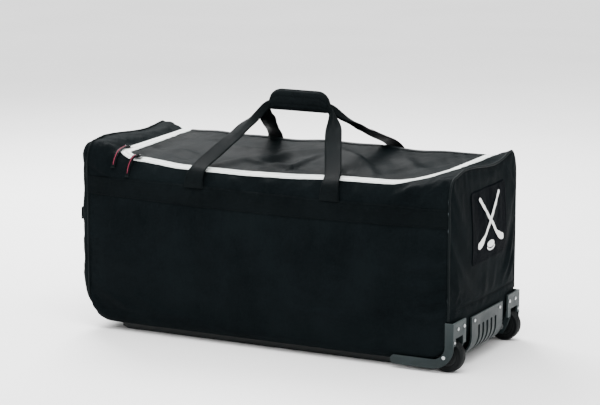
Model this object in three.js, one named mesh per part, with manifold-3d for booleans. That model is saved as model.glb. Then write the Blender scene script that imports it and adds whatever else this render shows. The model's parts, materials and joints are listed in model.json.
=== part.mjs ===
// Wheeled hockey equipment bag, built as an assembly of separate named pieces.
// Millimetres. +X runs along the bag towards the wheels, -Y is the front face,
// +Z is up and z = 0 is the floor under the skid rails and the wheels.
import * as THREE from 'three';
import { mergeVertices } from 'three/addons/utils/BufferGeometryUtils.js';
import Module from 'manifold-3d';

const wasm = await Module();
wasm.setup();
const { Manifold, Mesh: SolidMesh } = wasm;

// ---------------------------------------------------------------- driving dimensions
const SEAM_X = 450;            // end seams, half of the fabric body's length
const SKIN_X = 445.2;          // where the long panels stop beside the piping
const HALF_D = 182;            // front and rear faces
const FABRIC = 3.5;            // padded fabric wall
const GAP = 0.3;               // clearance between neighbouring pieces
const BASE_Z = 16;             // underside of the fabric base
const END_R = 50;              // base rounding, seen from the front
const ROLL_R = 25;             // base rounding, seen from the end
const EDGE_Z = 60;             // depth of the top edge rounding
const ZIP_Y = -148;            // front run of the zip
const HINGE_Y = 150;           // rear edge of the lid
const FRONT_Z = 400;           // height of the front run
const REAR_Z = 419;            // height of the rear edge of the lid
const CORNER_Z = 434;          // height of the four top corners
const LID = { left: -378, right: 402, leftR: 24, rightR: 100 };
const TAPE = { in: 1.0, lidIn: 2.0, out: 11.7, bead: 2.4, beadZ: 2.2, top: 0.4, low: 1.6 };
const BAND = { z: 337, half: 21, sag: 8, t: 2.5 };
const WEB = { w: 50, t: 2.2, x: 168, y: 187.1 };
const GRIP = { z: 535, halfL: 75, halfH: 27, halfT: 13, wall: 3.5 };
const WHEEL = { x: 440, y: 156.5, r: 36, w: 25, axle: 4.0, bore: 4.12, hubR: 21.5 };
const PLATE_X = 463;           // outer face of the moulded plates at the wheel end
const RAIL = { x0: -381, x1: 357, y: 140, w: 18, h: 15.7 };

// ---------------------------------------------------------------- small helpers
const V = (x, y, z) => new THREE.Vector3(x, y, z);
const mix = (a, b, t) => a + (b - a) * t;
const clamp = (v, a, b) => Math.min(b, Math.max(a, v));
const steps = (a, b, n) => Array.from({ length: n + 1 }, (_, i) => mix(a, b, i / n));
const rad = (degrees) => (degrees * Math.PI) / 180;
const arc = (cx, cy, r, a0, a1, n) =>
  steps(a0, a1, n).map((d) => [cx + r * Math.cos(rad(d)), cy + r * Math.sin(rad(d))]);

const part = new THREE.Group();
part.name = 'wheeled_hockey_bag';

const PAINT = {
  fabric: [0x14191b, 0.9], lining: [0x1b2122, 0.95], webbing: [0x22292a, 0.85],
  tape: [0xe9eeea, 0.8], moulding: [0x4c5858, 0.6], rubber: [0x15181a, 0.9],
  metal: [0x8d9496, 0.35], board: [0x2b2f30, 0.8],
};
const METALS = new Set(['metal']);

function add(name, geometry, paint) {
  const [color, roughness] = PAINT[paint];
  const metalness = METALS.has(paint) ? 0.8 : 0;
  const material = new THREE.MeshStandardMaterial({ color, roughness, metalness });
  material.name = paint;
  const mesh = new THREE.Mesh(geometry, material);
  mesh.name = name;
  part.add(mesh);
}

function fromArrays(points, faces) {
  const flat = new Float32Array(points.length * 3);
  points.forEach((p, i) => flat.set([p.x, p.y, p.z], i * 3));
  let volume = 0;
  for (const [a, b, c] of faces) volume += points[a].dot(points[b].clone().cross(points[c]));
  const wound = volume < 0 ? faces.map(([a, b, c]) => [a, c, b]) : faces;
  const geometry = new THREE.BufferGeometry();
  geometry.setAttribute('position', new THREE.BufferAttribute(flat, 3));
  geometry.setIndex(wound.flat());
  return geometry;
}

// A solid from a list of rings that all have the same number of points.
function loft(rings, closed = false) {
  const n = rings[0].length;
  const faces = [];
  const last = closed ? rings.length : rings.length - 1;
  for (let i = 0; i < last; i += 1) {
    const j = (i + 1) % rings.length;
    for (let k = 0; k < n; k += 1) {
      const m = (k + 1) % n;
      faces.push([i * n + k, j * n + k, j * n + m], [i * n + k, j * n + m, i * n + m]);
    }
  }
  if (!closed) {
    const e = (rings.length - 1) * n;
    for (let k = 1; k < n - 1; k += 1) {
      faces.push([0, k, k + 1], [e, e + k + 1, e + k]);
    }
  }
  return fromArrays(rings.flat(), faces);
}

// A curved sheet of even thickness from a grid of points on its outer face.
function sheet(grid, thickness) {
  const rows = grid.length;
  const cols = grid[0].length;
  const at = (i, j) => grid[clamp(i, 0, rows - 1)][clamp(j, 0, cols - 1)];
  const inner = grid.map((row, i) => row.map((p, j) => {
    const du = at(i + 1, j).clone().sub(at(i - 1, j));
    const dv = at(i, j + 1).clone().sub(at(i, j - 1));
    return p.clone().addScaledVector(du.cross(dv).normalize(), -thickness);
  }));
  const points = [...grid.flat(), ...inner.flat()];
  const o = (i, j) => i * cols + j;
  const q = (i, j) => rows * cols + i * cols + j;
  const faces = [];
  for (let i = 0; i < rows - 1; i += 1) {
    for (let j = 0; j < cols - 1; j += 1) {
      faces.push([o(i, j), o(i + 1, j), o(i + 1, j + 1)], [o(i, j), o(i + 1, j + 1), o(i, j + 1)]);
      faces.push([q(i, j), q(i + 1, j + 1), q(i + 1, j)], [q(i, j), q(i, j + 1), q(i + 1, j + 1)]);
    }
  }
  const wall = (a, b) => faces.push([o(...a), o(...b), q(...b)], [o(...a), q(...b), q(...a)]);
  for (let i = 0; i < rows - 1; i += 1) {
    wall([i + 1, 0], [i, 0]);
    wall([i, cols - 1], [i + 1, cols - 1]);
  }
  for (let j = 0; j < cols - 1; j += 1) {
    wall([0, j], [0, j + 1]);
    wall([rows - 1, j + 1], [rows - 1, j]);
  }
  return fromArrays(points, faces);
}

// Webbing: stations of {p, w, width}, where w is the direction across the webbing.
function webbing(stations, thickness) {
  const rings = stations.map((s, i) => {
    const a = stations[Math.max(0, i - 1)].p;
    const b = stations[Math.min(stations.length - 1, i + 1)].p;
    const t = b.clone().sub(a).normalize();
    const w = s.w.clone().addScaledVector(t, -s.w.dot(t)).normalize();
    const n = t.clone().cross(w);
    const corner = (u, v) => s.p.clone()
      .addScaledVector(w, (u * s.width) / 2)
      .addScaledVector(n, (v * thickness) / 2);
    return [corner(-1, -1), corner(1, -1), corner(1, 1), corner(-1, 1)];
  });
  return loft(rings);
}

// A flat outline (list of [a, b]) pushed along an axis. plane 'xz' pushes along y, 'yz' along x.
function slab(outline, from, to, plane = 'xz', holes = []) {
  const shape = new THREE.Shape(outline.map(([a, b]) => new THREE.Vector2(a, b)));
  holes.forEach((h) => shape.holes.push(new THREE.Path(h.map(([a, b]) => new THREE.Vector2(a, b)))));
  const g = new THREE.ExtrudeGeometry(shape, { depth: to - from, bevelEnabled: false, curveSegments: 1 });
  const p = g.attributes.position;
  for (let i = 0; i < p.count; i += 1) {
    const [a, b, d] = [p.getX(i), p.getY(i), p.getZ(i) + from];
    if (plane === 'xz') p.setXYZ(i, a, d, b);
    else if (plane === 'yz') p.setXYZ(i, d, a, b);
    else p.setXYZ(i, a, b, d);
  }
  return tidy(g);
}

function tidy(geometry) {
  const g = geometry.clone();
  g.deleteAttribute('normal');
  g.deleteAttribute('uv');
  const merged = mergeVertices(g, 1e-4);
  const p = merged.attributes.position;
  const idx = Array.from(merged.index.array);
  const points = Array.from({ length: p.count }, (_, i) => V(p.getX(i), p.getY(i), p.getZ(i)));
  const faces = [];
  for (let i = 0; i < idx.length; i += 3) {
    const f = [idx[i], idx[i + 1], idx[i + 2]];
    if (f[0] !== f[1] && f[1] !== f[2] && f[0] !== f[2]) faces.push(f);
  }
  return fromArrays(points, faces);
}

// Turned about an axis through (x, z) that runs along y; profile is [radius, y] and closes on itself.
function turnedY(profile, x, z, segments = 32) {
  const rings = profile.map(([r, y]) => steps(0, 360, segments).slice(0, -1).map((d) => {
    const a = rad(d);
    return V(x + r * Math.cos(a), y, z + r * Math.sin(a));
  }));
  return loft(rings, true);
}

const disc = (cx, cy, r, n = 20) => arc(cx, cy, r, 0, 360 - 360 / n, n - 1);
const box = (x0, x1, y0, y1, z0, z1) => slab([[x0, z0], [x1, z0], [x1, z1], [x0, z1]], y0, y1);

function solid(geometry) {
  const g = geometry.index ? geometry : tidy(geometry);
  return new Manifold(new SolidMesh({
    numProp: 3,
    vertProperties: new Float32Array(g.attributes.position.array),
    triVerts: new Uint32Array(g.index.array),
  }));
}
function shaped(manifold) {
  const m = manifold.getMesh();
  const points = [];
  for (let i = 0; i < m.numVert; i += 1) {
    points.push(V(...m.vertProperties.slice(i * m.numProp, i * m.numProp + 3)));
  }
  const faces = [];
  for (let i = 0; i < m.numTri; i += 1) faces.push(Array.from(m.triVerts.slice(i * 3, i * 3 + 3)));
  return fromArrays(points, faces);
}
const join = (list) => list.map(solid).reduce((a, b) => a.add(b));
const cut = (geometry, tools) => shaped(tools.map(solid).reduce((a, b) => a.subtract(b), solid(geometry)));

// ---------------------------------------------------------------- the body's outer surface
const FRONT_LINE = [[-446, CORNER_Z], [-430, 425], [-392, 409], [-364, 409], [-345, FRONT_Z], [300, FRONT_Z],
  [330, 403], [360, 408], [402, 420], [430, 430], [446, CORNER_Z]];
function frontTop(x) {
  const k = clamp(FRONT_LINE.findIndex(([a]) => a >= x), 1, FRONT_LINE.length - 1);
  const [[x0, z0], [x1, z1]] = [FRONT_LINE[k - 1], FRONT_LINE[k]];
  return mix(z0, z1, clamp((x - x0) / (x1 - x0), 0, 1));
}
function rearTop(x) {
  return REAR_Z + (CORNER_Z - REAR_Z) * Math.pow(clamp((Math.abs(x) - 405) / 41, 0, 1), 1.2);
}
function baseZ(x) {
  const over = Math.abs(x) - (SKIN_X + 0.8 - END_R);
  return over <= 0 ? BASE_Z : BASE_Z + END_R - Math.sqrt(Math.max(0, END_R * END_R - over * over));
}
function topZ(x, y) {
  if (y < ZIP_Y) {
    return frontTop(x) - EDGE_Z * (1 - Math.sqrt(Math.max(0, 1 - ((ZIP_Y - y) / (HALF_D + ZIP_Y)) ** 2)));
  }
  if (y > HINGE_Y) {
    return rearTop(x) - EDGE_Z * (1 - Math.sqrt(Math.max(0, 1 - ((y - HINGE_Y) / (HALF_D - HINGE_Y)) ** 2)));
  }
  const t = (y - ZIP_Y) / (HINGE_Y - ZIP_Y);
  const crown = 6 * Math.sin(Math.PI * t) * clamp(1 - ((x - 12) / 355) ** 2, 0, 1);
  return mix(frontTop(x), rearTop(x), t) + crown;
}
const bandDrop = (x) => BAND.sag * (1 - (x / SKIN_X) ** 2);

const BASE_XS = [-445.2, -440, -431, -418, -405, -395, -345, -230, -115, 0, 115, 230, 300, 345, 395,
  405, 418, 431, 440, 445.2];

// One side wall below the band: rolls under at the base. side is -1 at the front and +1 at the rear.
function lowerWall(side) {
  return BASE_XS.map((x) => {
    const z0 = baseZ(x);
    const roll = arc(HALF_D - ROLL_R, z0 + ROLL_R, ROLL_R, -90, 0, 4);
    const rise = steps(z0 + ROLL_R, BAND.z - bandDrop(x) - GAP, 5).slice(1).map((z) => [HALF_D, z]);
    return [...roll, ...rise].map(([y, z]) => V(x, side * y, z));
  });
}
function edgeCurve(side, x, endAngle, n) {
  const top = side < 0 ? frontTop(x) : rearTop(x);
  const innerY = side < 0 ? -ZIP_Y : HINGE_Y;
  return steps(0, endAngle, n).map((d) => {
    const a = rad(d);
    return V(x, side * (innerY + (HALF_D - innerY) * Math.cos(a)), top - EDGE_Z + EDGE_Z * Math.sin(a));
  });
}

// Outline of the zip seen from above, moved outwards by "off". The trimming volumes use a finer one
// whose points fall between those of the panels.
const COARSE = { left: 5, tight: 5, runs: [-345, -230, -115, 0, 115, 230, 300], wide: 8, right: 4 };
const FINE = { left: 7, tight: 13, runs: [-341, -287, -171, -57, 59, 173, 273], wide: 17, right: 3 };
function zipPath(off, count = COARSE) {
  const { left, right, leftR, rightR } = LID;
  const end = count === FINE ? HINGE_Y + 3 : HINGE_Y - 1.5;
  const leftRun = steps(end, ZIP_Y + leftR, count.left).map((y) => [left - off, y]);
  const tight = arc(left + leftR, ZIP_Y + leftR, leftR + off, 180, 270, count.tight).slice(1);
  const front = [...count.runs, right - rightR].map((x) => [x, ZIP_Y - off]);
  const wide = arc(right - rightR, ZIP_Y + rightR, rightR + off, 270, 360, count.wide).slice(1);
  const rightRun = steps(ZIP_Y + rightR, end, count.right).slice(1).map((y) => [right + off, y]);
  return [...leftRun, ...tight, ...front, ...wide, ...rightRun];
}
const OUT = TAPE.out + GAP;
const EDGE = OUT - 2;           // panels reach this far under the tape before they are trimmed to it
const cornerL = { x: LID.left + LID.leftR, y: ZIP_Y + LID.leftR, r: LID.leftR };
const cornerR = { x: LID.right - LID.rightR, y: ZIP_Y + LID.rightR, r: LID.rightR };
const DIAG = Math.SQRT1_2;

// Plan limit of the front border next to the tape.
function borderY(x) {
  const l = cornerL.r + EDGE;
  const r = cornerR.r + EDGE;
  if (x < cornerL.x - l * DIAG) return cornerL.y - l * DIAG;
  if (x < cornerL.x) return cornerL.y - Math.sqrt(l * l - (x - cornerL.x) ** 2);
  if (x <= cornerR.x) return ZIP_Y - EDGE;
  if (x < cornerR.x + r * DIAG) return cornerR.y - Math.sqrt(r * r - (x - cornerR.x) ** 2);
  return cornerR.y - r * DIAG;
}
const FRONT_XS = [-445.2, -425, -400, cornerL.x - (cornerL.r + EDGE) * DIAG, -370, -362, cornerL.x, -345,
  -230, -115, 0, 115, 230, cornerR.x, 325, 350, 370, cornerR.x + (cornerR.r + EDGE) * DIAG, 400, 425, 445.2];

// ---------------------------------------------------------------- fabric panels
// The wheel wells are cut out of the base, the side walls and the end panel.
function wellCutter(side) {
  const r = 45.6;
  const outline = [...arc(WHEEL.x, WHEEL.r, r, 90, 206, 10), [394, -5], [520, -5], [520, WHEEL.r + r]];
  const [a, b] = side < 0 ? [-178.2, -130.7] : [130.7, 178.2];
  return slab(outline, a, b);
}
const axleCutter = (side) => {
  const [a, b] = side < 0 ? [-190, -170] : [170, 190];
  return slab(disc(WHEEL.x, WHEEL.r, 5.6, 16), a, b);
};
for (const [name, side] of [['front_panel', -1], ['rear_panel', 1]]) {
  const raw = sheet(side < 0 ? lowerWall(side) : lowerWall(side).map((row) => row.slice().reverse()), FABRIC);
  add(name, cut(raw, [wellCutter(side), axleCutter(side)]), 'fabric');
}

const BASE_Y = HALF_D - ROLL_R - 1.2;
const basePanel = sheet(BASE_XS.map((x) => steps(BASE_Y, -BASE_Y, 4).map((y) => V(x, y, baseZ(x)))), FABRIC);
const nutPockets = [[-136, -127.5], [127.5, 136]].map(([a, b]) => slab(disc(WHEEL.x, WHEEL.r, 8, 16), a, b));
add('bottom_panel', cut(basePanel, [wellCutter(-1), wellCutter(1), ...nutPockets]), 'fabric');

const frontYoke = sheet(FRONT_XS.map((x) => {
  const low = BAND.z - bandDrop(x) + GAP;
  const curve = edgeCurve(-1, x, 52, 4);
  const rise = [V(x, -HALF_D, low), V(x, -HALF_D, mix(low, frontTop(x) - EDGE_Z, 0.6))];
  const first = curve[curve.length - 1].y;
  const run = steps(first, borderY(x), 4).slice(1).map((y) => V(x, y, topZ(x, y)));
  return [...rise, ...curve, ...run];
}), FABRIC);
const roomBetween = (from, to) => loft(zipPath(from, FINE).map((_, i) => {
  const [a, b] = [zipPath(from, FINE)[i], zipPath(to, FINE)[i]];
  const at = (p, dz) => V(p[0], p[1], topZ(p[0], clamp(p[1], -200, HINGE_Y)) + dz);
  return [at(a, -8), at(a, 8), at(b, 8), at(b, -8)];
}));
const tapeRoom = roomBetween(-1, OUT);
add('front_yoke', cut(frontYoke, [tapeRoom]), 'fabric');

add('rear_yoke', sheet(BASE_XS.map((x) => {
  const low = BAND.z - bandDrop(x) + GAP;
  const curve = edgeCurve(1, x, 90, 6);
  curve[curve.length - 1] = V(x, HINGE_Y + GAP, topZ(x, HINGE_Y + GAP));
  const rise = [V(x, HALF_D, low), V(x, HALF_D, mix(low, rearTop(x) - EDGE_Z, 0.6))];
  return [...rise, ...curve].reverse();
}), FABRIC), 'fabric');

function endBorder(side) {
  const c = side < 0 ? cornerL : cornerR;
  const r = c.r + EDGE;
  const y0 = c.y - r * DIAG + 0.9;
  const ys = [...steps(y0, c.y, 5), ...steps(c.y, HINGE_Y - 1.1, 4).slice(1)];
  return sheet(ys.map((y) => {
    const reach = y < c.y ? Math.sqrt(Math.max(0, r * r - (y - c.y) ** 2)) : r;
    const inner = c.x + side * reach;
    const xs = steps(inner, side * SKIN_X, 4);
    const row = xs.map((x) => V(x, y, topZ(x, y)));
    return side < 0 ? row : row.reverse();
  }), FABRIC);
}
add('left_yoke', cut(endBorder(-1), [tapeRoom]), 'fabric');
add('right_yoke', cut(endBorder(1), [tapeRoom]), 'fabric');

// End panels: padded, bulging slightly, with the piping lying round their edge.
function endOutline(z, side) {
  const low = BASE_Z + END_R - 8;
  const top = CORNER_Z;
  const rounding = (t) => 1 - Math.sqrt(Math.max(0, 1 - Math.max(0, t) ** 2));
  const roll = ROLL_R * rounding((low + ROLL_R - z) / ROLL_R);
  const edge = (w) => w * rounding((z - top + EDGE_Z) / EDGE_Z);
  const w = side < 0 ? HALF_D + ZIP_Y : HALF_D - HINGE_Y;
  return side * (HALF_D - roll - edge(w));
}
const END_LOW = BASE_Z + END_R - 8;
function endBulge(y, z) {
  const v = (2 * (z - END_LOW)) / (CORNER_Z - END_LOW) - 1;
  return 7 * (1 - v ** 4) * (1 - (y / HALF_D) ** 4);
}
function endPanel(side) {
  const inset = 4;
  const zs = [END_LOW, END_LOW + 4, END_LOW + 12, END_LOW + ROLL_R, 130, 200, 280, 340, CORNER_Z - EDGE_Z,
    CORNER_Z - 40, CORNER_Z - 22, CORNER_Z - 10, CORNER_Z - 3, CORNER_Z];
  const span = CORNER_Z - END_LOW;
  const grid = zs.map((z) => {
    const zi = END_LOW + inset + ((z - END_LOW) / span) * (span - 2 * inset);
    const y0 = endOutline(z, -1) + inset;
    const y1 = endOutline(z, 1) - inset;
    const row = steps(y0, y1, 10).map((y) => {
      return V(side * (SEAM_X + endBulge(y, zi)), y, zi);
    });
    return side < 0 ? row : row.reverse();
  });
  return sheet(grid, FABRIC);
}
add('left_end_panel', endPanel(-1), 'fabric');
add('right_end_panel', cut(endPanel(1), [wellCutter(-1), wellCutter(1)]), 'fabric');

// Piping round each end seam.
function pipePath(fromZ) {
  const zs = steps(fromZ, CORNER_Z - EDGE_Z, 3);
  const topArc = steps(0, 90, 5).map((d) => CORNER_Z - EDGE_Z + EDGE_Z * Math.sin(rad(d)));
  const edge = (side) => [...zs.slice(0, -1), ...topArc].map((z) => [endOutline(z, side), z]);
  const over = steps(-60, 60, 2).map((y) => [y, CORNER_Z]);
  return [...edge(-1), ...over, ...edge(1).reverse()];
}
function cord(points, r, x, closed) {
  const n = points.length;
  const rings = points.map(([y, z], i) => {
    const a = points[closed ? (i + n - 1) % n : Math.max(0, i - 1)];
    const b = points[closed ? (i + 1) % n : Math.min(n - 1, i + 1)];
    const t = V(0, b[0] - a[0], b[1] - a[1]).normalize();
    const side = V(1, 0, 0);
    const up = t.clone().cross(side);
    return steps(0, 360, 8).slice(0, -1).map((d) => {
      const q = rad(d);
      return V(x, y, z).addScaledVector(side, r * Math.cos(q)).addScaledVector(up, r * Math.sin(q));
    });
  });
  return loft(rings, closed);
}
const underRoll = (side) => steps(0, 90, 4).map((d) => {
  const a = rad(d);
  return [side * (HALF_D - ROLL_R + ROLL_R * Math.cos(a)), END_LOW + ROLL_R - ROLL_R * Math.sin(a)];
});
const leftLoop = [...pipePath(END_LOW + ROLL_R + 20), ...underRoll(1), ...underRoll(-1).reverse()];
add('left_piping', cord(leftLoop, 3.4, -449, true), 'webbing');
add('right_piping', cord(pipePath(122), 3.4, 449, false), 'webbing');

// Sewn bands along the front and rear faces.
for (const [name, side] of [['front_band', -1], ['rear_band', 1]]) {
  const xs = steps(-SKIN_X, SKIN_X, 12);
  const rings = xs.map((x) => {
    const mid = BAND.z - bandDrop(x);
    const y0 = side * (HALF_D + GAP);
    const y1 = side * (HALF_D + GAP + BAND.t);
    return [V(x, y0, mid - BAND.half), V(x, y1, mid - BAND.half), V(x, y1, mid + BAND.half),
      V(x, y0, mid + BAND.half)];
  });
  add(name, loft(rings), 'webbing');
}

// Stiff board inside, on the base.
add('base_board', slab([[-385, -148], [380, -148], [380, 148], [-385, 148]], 20.0, 23.5, 'xy'), 'board');

// ---------------------------------------------------------------- lid and zip
function lidPanel() {
  const inset = EDGE;
  const x0 = LID.left + inset;
  const x1 = LID.right - inset;
  const rl = LID.leftR - inset;
  const rr = LID.rightR - inset;
  const frontY = (x) => {
    if (x < x0 + rl) return ZIP_Y + inset + rl - Math.sqrt(Math.max(0, rl * rl - (x0 + rl - x) ** 2));
    if (x > x1 - rr) return ZIP_Y + inset + rr - Math.sqrt(Math.max(0, rr * rr - (x - x1 + rr) ** 2));
    return ZIP_Y + inset;
  };
  const xs = [x0, x0 + 2, x0 + 6, x0 + rl, -300, -220, -140, -60, 20, 100, 180, 250, x1 - rr,
    x1 - rr * 0.62, x1 - rr * 0.3, x1 - rr * 0.12, x1 - rr * 0.03, x1];
  return sheet(xs.map((x) => steps(frontY(x), HINGE_Y - 1, 8).map((y) => V(x, y, topZ(x, y)))), FABRIC);
}
add('lid_panel', cut(lidPanel(), [roomBetween(1, -OUT - 0.5)]), 'fabric');

function tape(side, innerEdge) {
  const offs = [innerEdge, innerEdge + TAPE.bead, TAPE.out].map((o) => o * side);
  const [a, b, c] = offs.map((o) => zipPath(o));
  return loft(a.map((_, i) => {
    const at = (p, dz) => V(p[i][0], p[i][1], topZ(p[i][0], p[i][1]) + dz);
    return [at(a, -TAPE.low), at(a, TAPE.beadZ), at(b, TAPE.beadZ), at(b, TAPE.top), at(c, TAPE.top),
      at(c, -TAPE.low)];
  }));
}
add('zip_tape_frame', tape(1, TAPE.in), 'tape');
add('zip_tape_lid', tape(-1, TAPE.lidIn), 'tape');

// ---------------------------------------------------------------- zip sliders and pullers
// The body hooks round the coil on the frame side of the zip and carries a bar for the puller.
const SLIDER = { len: 22, plate: 1.8, lift: 2.7, barR: 1.2, barUp: 3.3, post: 2 };
function slider(x, y, alongX, z) {
  const half = SLIDER.len / 2;
  const top = z + SLIDER.lift;
  const [u0, u1] = [-1.4, 13];
  const blk = (a0, a1, b0, b1, z0, z1) => (alongX
    ? box(x + a0, x + a1, y - b1, y - b0, z0, z1)
    : box(x - b1, x - b0, y + a0, y + a1, z0, z1));
  const solids = [
    blk(-half, half, u0, u1, top, top + SLIDER.plate),
    blk(-half + 4, half - 4, u0, 0.5, z - 5.6, top + 0.5),
    blk(-half, half, u0, 4.5, z - 5.6, z - 3.6),
  ];
  const cx = alongX ? x : x - 6;
  const cy = alongX ? y - 4 : y;
  const barZ = top + SLIDER.plate + SLIDER.barUp;
  for (const s of [-1, 1]) {
    solids.push(box(cx + s * 6 - 1, cx + s * 6 + 1, cy - 1.6, cy + 1.6, top + 0.5, barZ + 1.6));
  }
  const bar = slab(disc(cy, barZ, SLIDER.barR, 12), cx - 6, cx + 6, 'yz');
  return { geometry: shaped(join([...solids, bar])), cx, cy, barZ };
}
// A puller's tail leans sideways by skew over its length, from 8 mm past the bar.
function puller(s, tail, skew = 0) {
  const line = [[0, 0], ...tail];
  const half = 1.25;
  const offset = (sign) => line.map(([y, z], i) => {
    const a = line[Math.max(0, i - 1)];
    const b = line[Math.min(line.length - 1, i + 1)];
    const l = Math.hypot(b[0] - a[0], b[1] - a[1]);
    return [s.cy + y - (sign * half * (b[1] - a[1])) / l, s.barZ + z + (sign * half * (b[0] - a[0])) / l];
  });
  const strip = slab([...offset(1), ...offset(-1).reverse()], s.cx - 4, s.cx + 4, 'yz');
  const eye = slab(disc(s.cy, s.barZ, 3.0, 16), s.cx - 4, s.cx + 4, 'yz');
  const hole = slab(disc(s.cy, s.barZ, 1.6, 16), s.cx - 5, s.cx + 5, 'yz');
  const geometry = shaped(join([strip, eye]).subtract(solid(hole)));
  const place = geometry.attributes.position;
  const reach = -line[line.length - 1][0] - 8;
  for (let i = 0; i < place.count; i += 1) {
    const past = Math.max(0, s.cy - 8 - place.getY(i));
    place.setX(i, place.getX(i) + (skew * past) / reach);
  }
  return geometry;
}
const frontSlider = slider(-333, ZIP_Y, true, FRONT_Z);
add('slider_front', frontSlider.geometry, 'metal');
add('puller_front', puller(frontSlider, [[-11, 0], [-20, -7], [-28.5, -22], [-33.5, -44]], -9), 'webbing');
const leftZ = topZ(LID.left, -111);
const leftSlider = slider(LID.left, -111, false, leftZ);
add('slider_left', leftSlider.geometry, 'metal');
add('puller_left', puller(leftSlider, [[-16, 0.5], [-36, -2], [-50, -7], [-63, -19], [-73, -37]], 8), 'webbing');

// ---------------------------------------------------------------- carry straps and wrapped grip
const ANCHOR_Z = BAND.z + BAND.half - bandDrop(WEB.x) + 0.6;
const FRONT_RISE = [
  [[-167, -183.5, 383], [1, 0, 0], WEB.w],
  [[-165, -175, 397], [1, 0, 0], WEB.w],
  [[-160, -154, 411], [1, 0, 0], WEB.w],
  [[-143, -118, 434], [1, 0, -0.1], WEB.w],
  [[-124, -80, 462], [0.95, 0, -0.15], WEB.w],
  [[-108, -46, 490], [0.8, -0.1, -0.3], 46],
];
const REAR_RISE = [
  [[-163, -186.5, 393], [1, 0, 0], WEB.w],
  [[-157, -181, 414], [1, 0, 0], WEB.w],
  [[-150, -159, 433], [1, 0, 0], WEB.w],
  [[-136, -118, 453], [1, 0, -0.1], WEB.w],
  [[-121, -80, 473], [0.95, 0, -0.15], WEB.w],
  [[-107, -46, 495], [0.8, -0.1, -0.3], 46],
];
function carryStrap(side) {
  const leg = [
    [[-WEB.x, -WEB.y, ANCHOR_Z], [1, 0, 0], WEB.w],
    [[-WEB.x, -WEB.y + 0.4, ANCHOR_Z + 18], [1, 0, 0], WEB.w],
    ...(side < 0 ? FRONT_RISE : REAR_RISE),
    [[-95, -20, 517], [0.5, 0, -0.75], 38],
    [[-83, -7.5, 531], [0.15, 0, -1], 32],
    [[-70, -5, 535], [0, 0, -1], 31],
    [[-30, -5, 535], [0, 0, -1], 31],
  ];
  const mirrored = ([p, w, width]) => [[-p[0], p[1], p[2]], [-w[0], w[1], w[2]], width];
  const right = leg.slice().reverse().map(mirrored);
  const all = [...leg, ...right].map(([p, w, width]) => ({
    p: V(p[0], -side * p[1], p[2]),
    w: V(w[0], -side * w[1], w[2]),
    width,
  }));
  return webbing(all, WEB.t);
}
add('front_carry_strap', carryStrap(-1), 'webbing');
add('rear_carry_strap', carryStrap(1), 'webbing');

function gripHalf(side) {
  const half = (a, b, n, rev) => {
    const list = steps(-90, 90, n).map((d) => {
      const q = rad(d);
      return [side * (GAP + a * Math.cos(q)), GRIP.z + b * Math.sin(q)];
    });
    return rev ? list.reverse() : list;
  };
  const outer = half(GRIP.halfT - GAP, GRIP.halfH, 10, false);
  const inner = half(GRIP.halfT - GAP - GRIP.wall, GRIP.halfH - GRIP.wall, 8, true);
  return slab([...outer, ...inner], -GRIP.halfL, GRIP.halfL, 'yz');
}
add('grip_front_half', gripHalf(-1), 'webbing');
add('grip_rear_half', gripHalf(1), 'webbing');

// ---------------------------------------------------------------- end grab handle
const GRAB = { z: 264, w: 25, end: 138, out: 474.9 };
const grabPath = [[-GRAB.end, 460.8], [-126, 463], [-110, 467.5], [-88, 471.6], [-60, 474], [-30, GRAB.out],
  [0, GRAB.out]];
const grabAll = [...grabPath, ...grabPath.slice(0, -1).reverse().map(([y, x]) => [-y, x])];
const grabLine = grabAll.map(([y, x]) => ({ p: V(-x, y, GRAB.z), w: V(0, 0, 1), width: GRAB.w }));
add('left_grab_handle', webbing(grabLine, WEB.t), 'webbing');
for (const [name, side] of [['left_grab_tab_front', -1], ['left_grab_tab_rear', 1]]) {
  const line = [168, 158, 148, GRAB.end + 0.6].map((y) => ({
    p: V(-(SEAM_X + endBulge(y, GRAB.z) + 2.3), side * y, GRAB.z),
    w: V(0, 0, 1),
    width: 28,
  }));
  add(name, webbing(line, 3.4), 'webbing');
}

// ---------------------------------------------------------------- wheels and housings
function mirrorY(list) {
  return list.map(([a, b]) => [-a, b]);
}
function housing(side) {
  const ys = (a, b) => (side < 0 ? [-b, -a] : [a, b]);
  const flange = [[321, 10], ...arc(413, 60, 50, -90, 0, 8), [PLATE_X, 112], [443, 112],
    ...arc(413, 60, 30, 0, -90, 6), [321, 30], [315, 24], [315, 16]];
  const bracket = [[118, 112], [185.5, 112], [185.5, 62], [172, 62], [172, 78], [131, 78], [131, 60],
    [118, 60]];
  const fender = [[PLATE_X, 81], ...arc(WHEEL.x, WHEEL.r, 45, 90, 208, 10),
    ...arc(WHEEL.x, WHEEL.r, 42, 208, 90, 10), [PLATE_X, 78]];
  const cheek = [[PLATE_X, 81], ...arc(WHEEL.x, WHEEL.r, 45, 90, 208, 10), [446, 20], [456, 40],
    [PLATE_X, 60]];
  const bracketYZ = side < 0 ? mirrorY(bracket) : bracket;
  const bodies = [
    slab(flange, ...ys(182.3, 185.5), 'xz', [disc(WHEEL.x, WHEEL.r, WHEEL.axle + 0.1, 24)]),
    slab(bracketYZ, PLATE_X - 4, PLATE_X, 'yz'),
    slab(fender, ...ys(131, 177.9)),
    slab(cheek, ...ys(131, 134), 'xz', [disc(WHEEL.x, WHEEL.r, WHEEL.axle + 0.1, 24)]),
    box(362, 402, ...ys(131, 170), 12.3, 15.7),
  ];
  const drill = ([y, z]) => solid(slab(disc(side * y, z, 1.9, 12), 455, 470, 'yz'));
  const holes = [[160, 97], [127, 97], [178.5, 70]].map(drill);
  return shaped(holes.reduce((a, b) => a.subtract(b), join(bodies)));
}
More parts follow.
